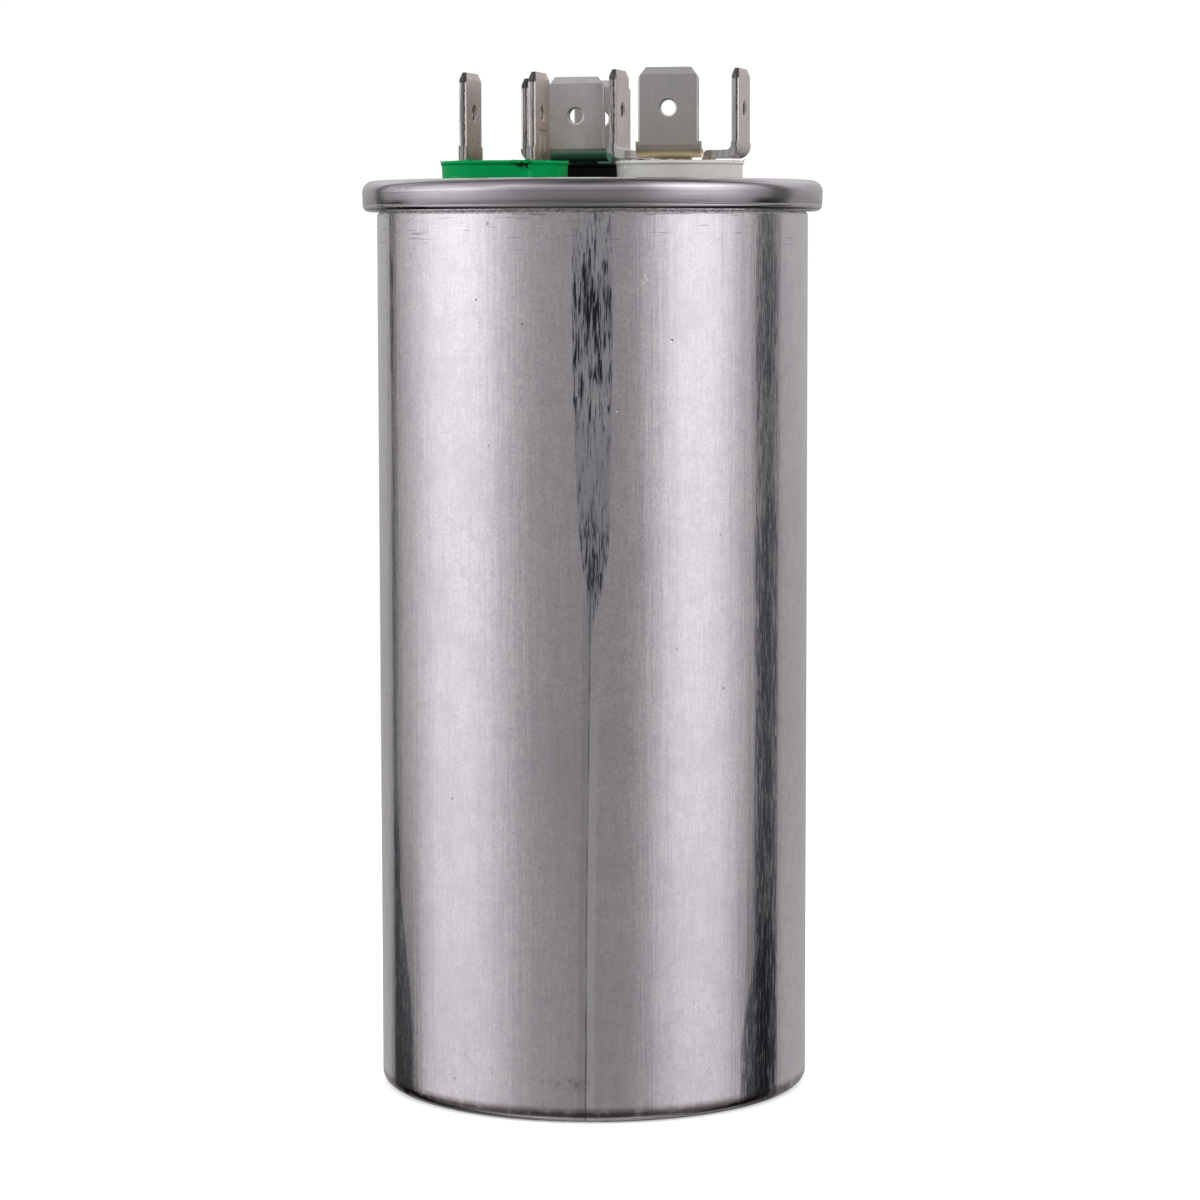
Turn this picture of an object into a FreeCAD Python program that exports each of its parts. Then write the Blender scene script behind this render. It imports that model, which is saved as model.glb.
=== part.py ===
import FreeCAD, Part
import math
import os
import Sketcher

# Dual motor run capacitor: drawn can, seamed lid, three terminals and the wound element.
# Millimetres and degrees. The origin is the centre of the can's foot and +Z is up.

doc = FreeCAD.newDocument("run_capacitor")
sheet = doc.addObject("Spreadsheet::Sheet", "Sizes")

SIZES = [
    ("can_radius", 22.5, "outside of the drawn can"),
    ("can_wall", 0.45, "wall of the can"),
    ("can_floor", 0.5, "floor of the can"),
    ("foot_round", 1.2, "outside round at the foot"),
    ("floor_lift", 0.5, "rise of the pressed floor above the standing ring"),
    ("floor_slope", 0.7, "run of that rise"),
    ("floor_ring_width", 5.3, "standing ring, from the can's side to the pressed floor"),
    ("rim_top", 95.0, "foot to the top of the seam"),
    ("rim_reach", 1.59, "seam beyond the side of the can"),
    ("rim_height", 3.2, "height of the seam"),
    ("rim_taper", 0.14, "seam radius lost towards its lower edge"),
    ("rim_round", 1.2, "upper outside round of the seam"),
    ("rim_curl", 0.7, "lower outside round of the seam"),
    ("lid_gauge", 0.5, "sheet of the lid"),
    ("seam_clear", 0.05, "play between the folded layers"),
    ("neck_inset", 0.28, "can pressed in behind the seam"),
    ("neck_slope", 0.3, "height of that step"),
    ("seal_height", 0.2, "sealing compound above the can flange"),
    ("hook_lap", 1.45, "length of the can hook"),
    ("panel_depth", 3.4, "seam top down to the lid panel"),
    ("channel_depth", 0.6, "ring channel below the lid panel"),
    ("channel_width", 1.8, "width of the ring channel"),
    ("channel_slope", 0.5, "run of the channel's inner side"),
    ("chuck_round", 0.8, "upper inside round of the seam"),
    ("fold_round", 0.45, "outside rounds of the hidden folds"),
    ("crease_round", 0.25, "inside rounds of the hidden folds"),
    ("flange_round", 0.4, "rounds of the can flange"),
    ("pitch_radius", 10.4, "terminals from the can axis"),
    ("fan_bearing", 210.0, "bearing of the fan terminal"),
    ("herm_bearing", 330.0, "bearing of the compressor terminal"),
    ("common_bearing", 91.6, "bearing of the common terminal"),
    ("fan_twist", 13.0, "clockwise turn of the fan blades"),
    ("herm_twist", 13.0, "clockwise turn of the compressor blades"),
    ("common_twist", 12.0, "clockwise turn of the outer common blades"),
    ("cross_twist", 17.0, "clockwise turn of the inner common blades"),
    ("base_mouth_radius", 6.5, "terminal base below its lip"),
    ("base_draft", 0.15, "mouth beyond the foot of the base"),
    ("base_lip_flare", 0.13, "lip beyond the mouth"),
    ("base_lip_height", 0.45, "height of the lip"),
    ("base_lip_round", 0.15, "rounds of the lip"),
    ("base_height", 5.3, "terminal base above the lid panel"),
    ("base_recess", 2.6, "depth of the cup in the base"),
    ("base_wall", 0.85, "wall of the cup at its floor"),
    ("base_bore_draft", 0.1, "draft of the cup wall"),
    ("spigot_radius", 3.5, "spigot through the lid"),
    ("spigot_reach", 0.7, "spigot below the panel top"),
    ("spigot_clear", 0.2, "spigot to lid hole and washer"),
    ("gasket_radius", 5.2, "outside of the gasket"),
    ("gasket_height", 0.6, "gasket squeezed under the base"),
    ("gasket_clear", 0.1, "gasket to its groove"),
    ("rivet_radius", 1.5, "rivet shank"),
    ("rivet_clear", 0.1, "rivet to its holes"),
    ("rivet_head_radius", 2.0, "upper head of the rivet"),
    ("rivet_head_height", 0.8, "height of the upper head"),
    ("rivet_tail_radius", 2.4, "peened end of the rivet"),
    ("rivet_tail_height", 0.9, "height of the peened end"),
    ("rivet_tail_bevel", 0.3, "bevel of the peened end"),
    ("blade_gauge", 0.8, "sheet of the blades"),
    ("blade_width", 6.2, "blade across its flats"),
    ("stop_reach", 0.25, "stop beyond each side of the blade"),
    ("strap_width", 3.8, "strap inside the cup"),
    ("blade_reach", 7.5, "blade tip to its stop"),
    ("fan_rise", 9.07, "fan blade tips above the base lip"),
    ("herm_rise", 9.4, "compressor blade tips above the base lip"),
    ("common_rise", 9.15, "common blade tips above the base lip"),
    ("edge_round", 0.2, "rounded long edges of the blades"),
    ("blade_hole_radius", 0.8, "detent hole"),
    ("blade_hole_bevel", 0.15, "bevel round the detent hole"),
    ("blade_hole_drop", 4.1, "detent hole below the tip"),
    ("tip_corner_width", 0.8, "cut corner across the blade"),
    ("tip_corner_drop", 1.1, "cut corner down the blade"),
    ("tip_bevel_drop", 0.7, "height of the coined tip"),
    ("tip_bevel_depth", 0.2, "depth of the coined tip"),
    ("bend_radius", 0.5, "inside of the blade bends"),
    ("joggle_round", 0.5, "outside of the strap bends"),
    ("joggle_crease", 0.175, "inside of the strap bends"),
    ("strap_lift", 0.3, "strap above the base lip"),
    ("fan_spread", 3.64, "fan blades from the rivet axis"),
    ("wide_spread", 6.4, "outer blade pairs from the rivet axis"),
    ("front_reach", 5.6, "front compressor blade from the rivet axis"),
    ("cross_spread", 4.7, "inner common blades from the rivet axis"),
    ("strap_margin", 0.4, "full width kept past the blade bend"),
    ("strap_flat", 2.65, "flat of the strap from the rivet axis"),
    ("strap_rise_run", 0.75, "run of the strap slope"),
    ("washer_radius", 6.2, "insulating washer under the lid"),
    ("washer_height", 1.3, "height of the washer"),
    ("washer_sink", 0.6, "counterbore of the washer"),
    ("washer_round", 0.3, "lower round of the washer"),
    ("lug_gauge", 0.5, "sheet of the solder lug"),
    ("lug_radius", 3.2, "ring of the solder lug"),
    ("lug_tail_width", 3.0, "tail of the solder lug"),
    ("lug_tail_margin", 1.2, "tail beyond the lead"),
    ("lead_offset", 4.0, "lead from the rivet axis"),
    ("lead_radius", 0.8, "insulated lead"),
    ("lead_bend", 2.0, "bend of the leads at their axis"),
    ("lead_drop", 3.4, "common lead below its lug before it turns"),
    ("lead_foot", 10.6, "end of the compressor lead from the can axis"),
    ("common_foot", 9.0, "end of the common lead from the can axis"),
    ("spacer_gauge", 1.2, "plate of the bottom spacer"),
    ("spacer_standoff", 2.0, "room under the wound element"),
    ("spacer_ring_radius", 14.0, "support ring of the bottom spacer"),
    ("spacer_ring_wall", 2.0, "width of the support ring"),
    ("spray_gauge", 0.6, "sprayed zinc end contacts"),
    ("spray_inset", 0.25, "contact inside the edge of its winding"),
    ("head_room", 10.0, "wound element's upper contact to the lid channel"),
    ("winding_clear", 0.25, "element to sleeve"),
    ("sleeve_wall", 0.5, "insulating sleeve"),
    ("sleeve_clear", 0.3, "sleeve to can"),
    ("sleeve_overlap", 2.5, "sleeve past the ends of the element"),
    ("fan_wind_radius", 8.3, "outside of the fan winding"),
    ("divider_wall", 0.3, "plain film between the windings"),
    ("wound_fit", 0.05, "play between the wound layers"),
    ("core_radius", 4.95, "outside of the core tube"),
    ("core_wall", 1.2, "wall of the core tube"),
    ("core_overrun", 1.0, "core tube past the upper contact"),
    ("holder_wall", 1.6, "wall of the upper spacer"),
    ("holder_foot", 3.0, "foot ring of the upper spacer"),
    ("holder_gauge", 1.0, "foot thickness of the upper spacer"),
    ("holder_clear", 0.2, "upper spacer to lid and sleeve"),
]

VALUES = {}
sheet.set("A1", "name")
sheet.set("B1", "value")
sheet.set("C1", "meaning")
for row, (name, value, meaning) in enumerate(SIZES, start=2):
    sheet.set("A%d" % row, name)
    sheet.set("B%d" % row, str(value))
    sheet.setAlias("B%d" % row, name)
    sheet.set("C%d" % row, meaning)
    VALUES[name] = value
doc.recompute()


def tokens(text):
    return str(text).replace("(", " ( ").replace(")", " ) ").split()


def link(text):
    joined = " ".join("Sizes." + word if word in VALUES else word for word in tokens(text))
    return joined.replace("cos (", "cos(").replace("sin (", "sin(")


def number(text):
    words = tokens(text)

    def atom():
        word = words.pop(0)
        if word == "(":
            total = chain()
            words.pop(0)
            return total
        if word == "-":
            return -atom()
        return VALUES[word] if word in VALUES else float(word)

    def product():
        total = atom()
        while words and words[0] in ("*", "/"):
            if words.pop(0) == "*":
                total *= atom()
            else:
                total /= atom()
        return total

    def chain():
        total = product()
        while words and words[0] in ("+", "-"):
            if words.pop(0) == "+":
                total += product()
            else:
                total -= product()
        return total

    return chain()


def plus(*terms):
    return "( " + " + ".join(str(term) for term in terms) + " )"


def less(first, *terms):
    return "( " + str(first) + "".join(" - " + str(term) for term in terms) + " )"


def new_body(label):
    body = doc.addObject("PartDesign::Body", label)
    body.Label = label
    return body


def new_sketch(body, plane, offset=None):
    sketch = body.newObject("Sketcher::SketchObject", body.Name + "_sketch")
    origin = [item for item in body.Origin.OriginFeatures if item.Role == plane][0]
    sketch.AttachmentSupport = [(origin, "")]
    sketch.MapMode = "FlatFace"
    if offset is not None:
        sketch.setExpression("AttachmentOffset.Base.z", link(offset))
    return sketch


def pin_point(sketch, geo, pos, x, y):
    for kind, axis, text in (("DistanceX", -2, x), ("DistanceY", -1, y)):
        if text == "0":
            sketch.addConstraint(Sketcher.Constraint("PointOnObject", geo, pos, axis))
        else:
            rule = Sketcher.Constraint(kind, -1, 1, geo, pos, number(text))
            index = sketch.addConstraint(rule)
            sketch.setExpression("Constraints[%d]" % index, link(text))


def outline(sketch, points):
    first = sketch.GeometryCount
    spots = [FreeCAD.Vector(number(x), number(y), 0) for x, y in points]
    count = len(spots)
    for i in range(count):
        sketch.addGeometry(Part.LineSegment(spots[i], spots[(i + 1) % count]), False)
    for i in range(count):
        after = first + (i + 1) % count
        sketch.addConstraint(Sketcher.Constraint("Coincident", first + i, 2, after, 1))
    for i, (x, y) in enumerate(points):
        pin_point(sketch, first + i, 1, x, y)


def ring(sketch, x, y, radius):
    spot = FreeCAD.Vector(number(x), number(y), 0)
    circle = Part.Circle(spot, FreeCAD.Vector(0, 0, 1), number(radius))
    geo = sketch.addGeometry(circle, False)
    if x == "0" and y == "0":
        sketch.addConstraint(Sketcher.Constraint("Coincident", geo, 3, -1, 1))
    else:
        pin_point(sketch, geo, 3, x, y)
    index = sketch.addConstraint(Sketcher.Constraint("Radius", geo, number(radius)))
    sketch.setExpression("Constraints[%d]" % index, link(radius))


def spin(body, points):
    sketch = new_sketch(body, "XZ_Plane")
    outline(sketch, points)
    turn = body.newObject("PartDesign::Revolution", body.Name + "_turn")
    turn.Profile = sketch
    turn.ReferenceAxis = (sketch, ["V_Axis"])
    turn.Angle = 360
    doc.recompute()
    return turn


def round_rings(body, radius, spots):
    base = body.Tip
    wanted = []
    for i, edge in enumerate(base.Shape.Edges, start=1):
        if not isinstance(edge.Curve, Part.Circle):
            continue
        for x, z in spots:
            away = abs(edge.Curve.Radius - number(x)) + abs(edge.Curve.Center.z - number(z))
            if away < 0.002:
                wanted.append("Edge%d" % i)
    soften(body, base, wanted, radius, len(spots))


def soften(body, base, names, radius, expected):
    if len(names) != expected:
        raise RuntimeError("%s: %d of %d edges" % (body.Label, len(names), expected))
    fillet = body.newObject("PartDesign::Fillet", body.Name + "_round")
    fillet.Base = (base, names)
    fillet.setExpression("Radius", link(radius))
    doc.recompute()


def cut_through(body, sketch, length=None):
    pocket = body.newObject("PartDesign::Pocket", body.Name + "_cut")
    pocket.Profile = sketch
    pocket.Midplane = True
    if length is None:
        pocket.Type = "ThroughAll"
    else:
        pocket.setExpression("Length", link(length))
    doc.recompute()


def at_terminal(body, name, turned=None):
    body.setExpression("Placement.Base.x", link("pitch_radius * cos( %s_bearing )" % name))
    body.setExpression("Placement.Base.y", link("pitch_radius * sin( %s_bearing )" % name))
    body.Placement.Rotation = FreeCAD.Rotation(FreeCAD.Vector(0, 0, 1), 10)
    if turned:
        body.setExpression("Placement.Rotation.Angle", link("- %s_twist" % turned))
    else:
        body.setExpression("Placement.Rotation.Angle", link("%s_bearing" % name))


PANEL_TOP = less("rim_top", "panel_depth")
PANEL_UNDER = less(PANEL_TOP, "lid_gauge")
LIP_TOP = plus(PANEL_TOP, "base_height")
CUP_FLOOR = less(LIP_TOP, "base_recess")
CAN_INSIDE = less("can_radius", "can_wall")
FLOOR_TOP = plus("floor_lift", "can_floor")
WASHER_UNDER = less(PANEL_UNDER, "washer_height")
LUG_UNDER = less(WASHER_UNDER, "lug_gauge")
ELEMENT_LOW = plus(FLOOR_TOP, "spacer_gauge", "spacer_standoff", "spray_gauge")
CONTACT_TOP = less(PANEL_UNDER, "channel_depth", "head_room")
ELEMENT_HIGH = less(CONTACT_TOP, "spray_gauge")
SLEEVE_OUT = less(CAN_INSIDE, "sleeve_clear")
SLEEVE_IN = less(SLEEVE_OUT, "sleeve_wall")
ELEMENT_RADIUS = less(SLEEVE_IN, "winding_clear")
RIM_OUT = plus("can_radius", "rim_reach")
SHOULDER = plus("blade_width", "2 * stop_reach")
RIM_LOW = less("rim_top", "rim_height")
NECK_OUT = less("can_radius", "neck_inset")
NECK_IN = less(NECK_OUT, "can_wall")
NECK_LOW = less(RIM_LOW, "neck_slope")
FLOOR_RING = less("can_radius", "floor_ring_width")
FLANGE_TOP = less("rim_top", "lid_gauge", "seal_height")
FLANGE_UNDER = less(FLANGE_TOP, "can_wall")
HOOK_IN = plus(NECK_OUT, "seam_clear", "lid_gauge", "seam_clear")
HOOK_OUT = plus(HOOK_IN, "can_wall")

bodies = []

# The can, with its flange hooked over inside the seam.
can = new_body("can")
spin(can, [
    ("0", "floor_lift"),
    (less(FLOOR_RING, "floor_slope"), "floor_lift"),
    (FLOOR_RING, "0"),
    ("can_radius", "0"),
    ("can_radius", NECK_LOW),
    (NECK_OUT, RIM_LOW),
    (NECK_OUT, FLANGE_UNDER),
    (HOOK_IN, FLANGE_UNDER),
    (HOOK_IN, less(FLANGE_TOP, "hook_lap", "can_wall")),
    (HOOK_OUT, less(FLANGE_TOP, "hook_lap", "can_wall")),
    (HOOK_OUT, FLANGE_TOP),
    (NECK_IN, FLANGE_TOP),
    (NECK_IN, RIM_LOW),
    (CAN_INSIDE, NECK_LOW),
    (CAN_INSIDE, "can_floor"),
    (less(FLOOR_RING, "0.4 * can_floor"), "can_floor"),
    (less(FLOOR_RING, "floor_slope", "0.4 * can_floor"), FLOOR_TOP),
    ("0", FLOOR_TOP),
])
round_rings(can, "foot_round", [("can_radius", "0")])
round_rings(can, less("foot_round", "can_wall"), [(CAN_INSIDE, "can_floor")])
round_rings(can, "flange_round", [(HOOK_OUT, FLANGE_TOP), (NECK_IN, FLANGE_TOP)])
bodies.append(can)

# The lid: panel, ring channel, chuck wall and the curl that closes the seam.
lid = new_body("lid")
CHUCK_IN = less(NECK_IN, "lid_gauge", "seam_clear")
CHUCK_OUT = less(NECK_IN, "seam_clear")
CHANNEL_IN = less(CHUCK_IN, "channel_width")
COVER_IN = plus(NECK_OUT, "seam_clear")
COVER_OUT = plus(COVER_IN, "lid_gauge", "- 0.5 * seam_clear")
spin(lid, [
    ("0", PANEL_UNDER),
    (less(CHANNEL_IN, "channel_slope", "lid_gauge"), PANEL_UNDER),
    (less(CHANNEL_IN, "lid_gauge"), less(PANEL_UNDER, "channel_depth")),
    (CHUCK_OUT, less(PANEL_UNDER, "channel_depth")),
    (CHUCK_OUT, less("rim_top", "lid_gauge")),
    (less(RIM_OUT, "lid_gauge"), less("rim_top", "lid_gauge")),
    (less(RIM_OUT, "lid_gauge", "rim_taper"), plus(RIM_LOW, "lid_gauge")),
    (COVER_OUT, plus(RIM_LOW, "lid_gauge")),
    (COVER_OUT, less(FLANGE_UNDER, "4 * seam_clear")),
    (COVER_IN, less(FLANGE_UNDER, "4 * seam_clear")),
    (COVER_IN, RIM_LOW),
    (less(RIM_OUT, "rim_taper"), RIM_LOW),
    (RIM_OUT, "rim_top"),
    (CHUCK_IN, "rim_top"),
    (CHUCK_IN, less(PANEL_TOP, "channel_depth")),
    (CHANNEL_IN, less(PANEL_TOP, "channel_depth")),
    (less(CHANNEL_IN, "channel_slope"), PANEL_TOP),
    ("0", PANEL_TOP),
])
round_rings(lid, "rim_round", [(RIM_OUT, "rim_top")])
round_rings(lid, "rim_curl", [(less(RIM_OUT, "rim_taper"), RIM_LOW)])
round_rings(lid, "chuck_round", [(CHUCK_IN, "rim_top")])
round_rings(lid, "fold_round", [
    (less(RIM_OUT, "lid_gauge"), less("rim_top", "lid_gauge")),
    (CHUCK_OUT, less(PANEL_UNDER, "channel_depth")),
])
round_rings(lid, "crease_round", [
    (CHUCK_OUT, less("rim_top", "lid_gauge")),
    (less(RIM_OUT, "lid_gauge", "rim_taper"), plus(RIM_LOW, "lid_gauge")),
    (less(CHANNEL_IN, "channel_slope"), PANEL_TOP),
    (COVER_IN, RIM_LOW),
])
holes = new_sketch(lid, "XY_Plane", PANEL_TOP)
for name in ("fan", "herm", "common"):
    spot = FreeCAD.Vector(
        VALUES["pitch_radius"] * math.cos(math.radians(VALUES[name + "_bearing"])),
        VALUES["pitch_radius"] * math.sin(math.radians(VALUES[name + "_bearing"])), 0)
    bore = number("spigot_radius + spigot_clear")
    geo = holes.addGeometry(Part.Circle(spot, FreeCAD.Vector(0, 0, 1), bore), False)
    text = "pitch_radius * cos( %s_bearing )" % name
    if abs(spot.x) < 1e-6:
        holes.addConstraint(Sketcher.Constraint("PointOnObject", geo, 3, -2))
    else:
        at = holes.addConstraint(Sketcher.Constraint("DistanceX", -1, 1, geo, 3, spot.x))
        holes.setExpression("Constraints[%d]" % at, link(text))
    at = holes.addConstraint(Sketcher.Constraint("DistanceY", -1, 1, geo, 3, spot.y))
    holes.setExpression("Constraints[%d]" % at, link(text.replace("cos", "sin")))
    at = holes.addConstraint(Sketcher.Constraint("Radius", geo, bore))
    holes.setExpression("Constraints[%d]" % at, link("spigot_radius + spigot_clear"))
cut_through(lid, holes, "4 * lid_gauge")
bodies.append(lid)

# The sealing compound between the can flange and the lid.
seam_seal = new_body("seam_seal")
spin(seam_seal, [
    (plus(NECK_IN, "flange_round", "0.4 * seam_clear"), FLANGE_TOP),
    (less(HOOK_OUT, "flange_round", "0.4 * seam_clear"), FLANGE_TOP),
    (less(HOOK_OUT, "flange_round", "0.4 * seam_clear"), less("rim_top", "lid_gauge")),
    (plus(NECK_IN, "flange_round", "0.4 * seam_clear"), less("rim_top", "lid_gauge")),
])
bodies.append(seam_seal)


def blade_profile(spread, low, high, tip):
    # Half a strap seen along its width: riveted flat, slope, run over the lip and the blade.
    out = plus(spread, "0.5 * blade_gauge")
    inner = less(spread, "0.5 * blade_gauge")
    bevel = less(tip, "tip_bevel_drop")
    under = [
        ("strap_flat", low),
        (plus("strap_flat", "strap_rise_run"), high),
        (out, high),
    ]
    over = [
        (inner, plus(high, "blade_gauge")),
        (less(plus("strap_flat", "strap_rise_run"), "0.55 * blade_gauge"), plus(high, "blade_gauge")),
        (less("strap_flat", "0.55 * blade_gauge"), plus(low, "blade_gauge")),
    ]
    blade = [
        (out, bevel),
        (less(out, "tip_bevel_depth"), tip),
        (plus(inner, "tip_bevel_depth"), tip),
        (inner, bevel),
    ]
    return under, blade, over


def straight_profile(spread, low, tip):
    out = plus(spread, "0.5 * blade_gauge")
    inner = less(spread, "0.5 * blade_gauge")
    bevel = less(tip, "tip_bevel_drop")
    under = [(out, low)]
    blade = [
        (out, bevel),
        (less(out, "tip_bevel_depth"), tip),
        (plus(inner, "tip_bevel_depth"), tip),
        (inner, bevel),
    ]
    over = [(inner, plus(low, "blade_gauge"))]
    return under, blade, over


def mirrored(points):
    return [("- " + x, z) for x, z in reversed(points)]


def bend(body, along, radius, spots):
    base = body.Tip
    wanted = []
    for i, edge in enumerate(base.Shape.Edges, start=1):
        ends = [vertex.Point for vertex in edge.Vertexes]
        if len(ends) != 2:
            continue
        for x, z in spots:
            across = [abs(getattr(end, along) - number(x)) < 0.002 for end in ends]
            level = [abs(end.z - number(z)) < 0.002 for end in ends]
            if all(across) and all(level):
                wanted.append("Edge%d" % i)
    soften(body, base, wanted, radius, len(spots))


def blades(label, terminal, spread, level, along, both, joggle):
    body = new_body(label)
    tip = plus(LIP_TOP, terminal + "_rise")
    low = plus(CUP_FLOOR, "%d * blade_gauge" % level)
    high = plus(LIP_TOP, "strap_lift")
    if joggle:
        under, blade, over = blade_profile(spread, low, high, tip)
    else:
        under, blade, over = straight_profile(spread, low, tip)
    half = under + blade + over
    if both:
        points = half + mirrored(half)
    elif along == "y":
        points = mirrored(half) + [
            ("0.5 * strap_width", low),
            ("0.5 * strap_width", plus(low, "blade_gauge")),
        ]
    sketch = new_sketch(body, "XZ_Plane" if along == "x" else "YZ_Plane")
    outline(sketch, points)
    pad = body.newObject("PartDesign::Pad", label + "_pad")
    pad.Profile = sketch
    pad.Midplane = True
    pad.setExpression("Length", link(SHOULDER))
    doc.recompute()
    signs = ("", "- ") if both else ("- ",)
    outer = []
    inner = []
    for sign in signs:
        foot = high if joggle else low
        outer.append((sign + plus(spread, "0.5 * blade_gauge"), foot))
        inner.append((sign + less(spread, "0.5 * blade_gauge"), plus(foot, "blade_gauge")))
    bend(body, along, plus("bend_radius", "blade_gauge"), outer)
    bend(body, along, "bend_radius", inner)
    if joggle:
        wide = []
        tight = []
        for sign in signs:
            top = less(plus("strap_flat", "strap_rise_run"), "0.55 * blade_gauge")
            wide.append((sign + top, plus(high, "blade_gauge")))
            tight.append((sign + plus("strap_flat", "strap_rise_run"), high))
            wide.append((sign + "strap_flat", low))
            tight.append((sign + less("strap_flat", "0.55 * blade_gauge"), plus(low, "blade_gauge")))
        bend(body, along, "joggle_round", wide)
        bend(body, along, "joggle_crease", tight)
    face = new_sketch(body, "YZ_Plane" if along == "x" else "XZ_Plane")
    for sign in ("", "- "):
        outline(face, [
            (sign + "( 0.5 * blade_width )", less(tip, "blade_reach")),
            (sign + plus("0.5 * " + SHOULDER, "1"), less(tip, "blade_reach")),
            (sign + plus("0.5 * " + SHOULDER, "1"), plus(tip, "1")),
            (sign + less("0.5 * blade_width", "tip_corner_width"), plus(tip, "1")),
            (sign + less("0.5 * blade_width", "tip_corner_width"), tip),
            (sign + "( 0.5 * blade_width )", less(tip, "tip_corner_drop")),
        ])
    cut_through(body, face)
    base = body.Tip
    sides = []
    for i, edge in enumerate(base.Shape.Edges, start=1):
        ends = [vertex.Point for vertex in edge.Vertexes]
        if len(ends) != 2 or abs(ends[0].x - ends[1].x) + abs(ends[0].y - ends[1].y) > 0.002:
            continue
        away = abs(ends[0].y if along == "x" else ends[0].x) - number("0.5 * blade_width")
        if abs(away) < 0.002:
            sides.append("Edge%d" % i)
    soften(body, base, sides, "edge_round", 4 * len(signs))
    eye = new_sketch(body, "YZ_Plane" if along == "x" else "XZ_Plane")
    ring(eye, "0", less(tip, "blade_hole_drop"), "blade_hole_radius")
    cut_through(body, eye)
    base = body.Tip
    rims = []
    for i, edge in enumerate(base.Shape.Edges, start=1):
        if isinstance(edge.Curve, Part.Circle):
            if abs(edge.Curve.Radius - number("blade_hole_radius")) < 0.002:
                rims.append("Edge%d" % i)
    bevel = body.newObject("PartDesign::Chamfer", label + "_bevel")
    bevel.Base = (base, rims)
    bevel.setExpression("Size", link("blade_hole_bevel"))
    doc.recompute()
    if joggle:
        plan = new_sketch(body, "XY_Plane", low)
        reach = less(spread, "0.5 * blade_gauge", "bend_radius", "strap_margin")
        for side in ("", "- "):
            spots = [
                (reach, side + "( 0.5 * strap_width )"),
                ("- " + reach, side + "( 0.5 * strap_width )"),
                ("- " + reach, side + plus("0.5 * " + SHOULDER, "1")),
                (reach, side + plus("0.5 * " + SHOULDER, "1")),
            ]
            if along == "y":
                spots = [(b, a) for a, b in spots]
            outline(plan, spots)
        cut_through(body, plan)
    bore = new_sketch(body, "XY_Plane", low)
    ring(bore, "0", "0", "rivet_radius + rivet_clear")
    cut_through(body, bore, "4 * blade_gauge")
    at_terminal(body, terminal, "cross" if label.endswith("cross") else terminal)
    bodies.append(body)


blades("blades_fan", "fan", "fan_spread", 0, "x", True, False)
blades("blades_herm", "herm", "wide_spread", 0, "x", True, True)
blades("blade_herm_front", "herm", "front_reach", 1, "y", False, True)
blades("blades_common", "common", "wide_spread", 0, "x", True, True)
blades("blades_common_cross", "common", "cross_spread", 1, "y", True, True)

HOLE = plus("rivet_radius", "rivet_clear")
BORE = less("base_mouth_radius", "base_wall")
LIP_OUT = plus("base_mouth_radius", "base_lip_flare")
LIP_LOW = less(LIP_TOP, "base_lip_height")
MOUTH_IN = plus(BORE, "base_bore_draft")
SPIGOT_END = less(PANEL_TOP, "spigot_reach")

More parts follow.
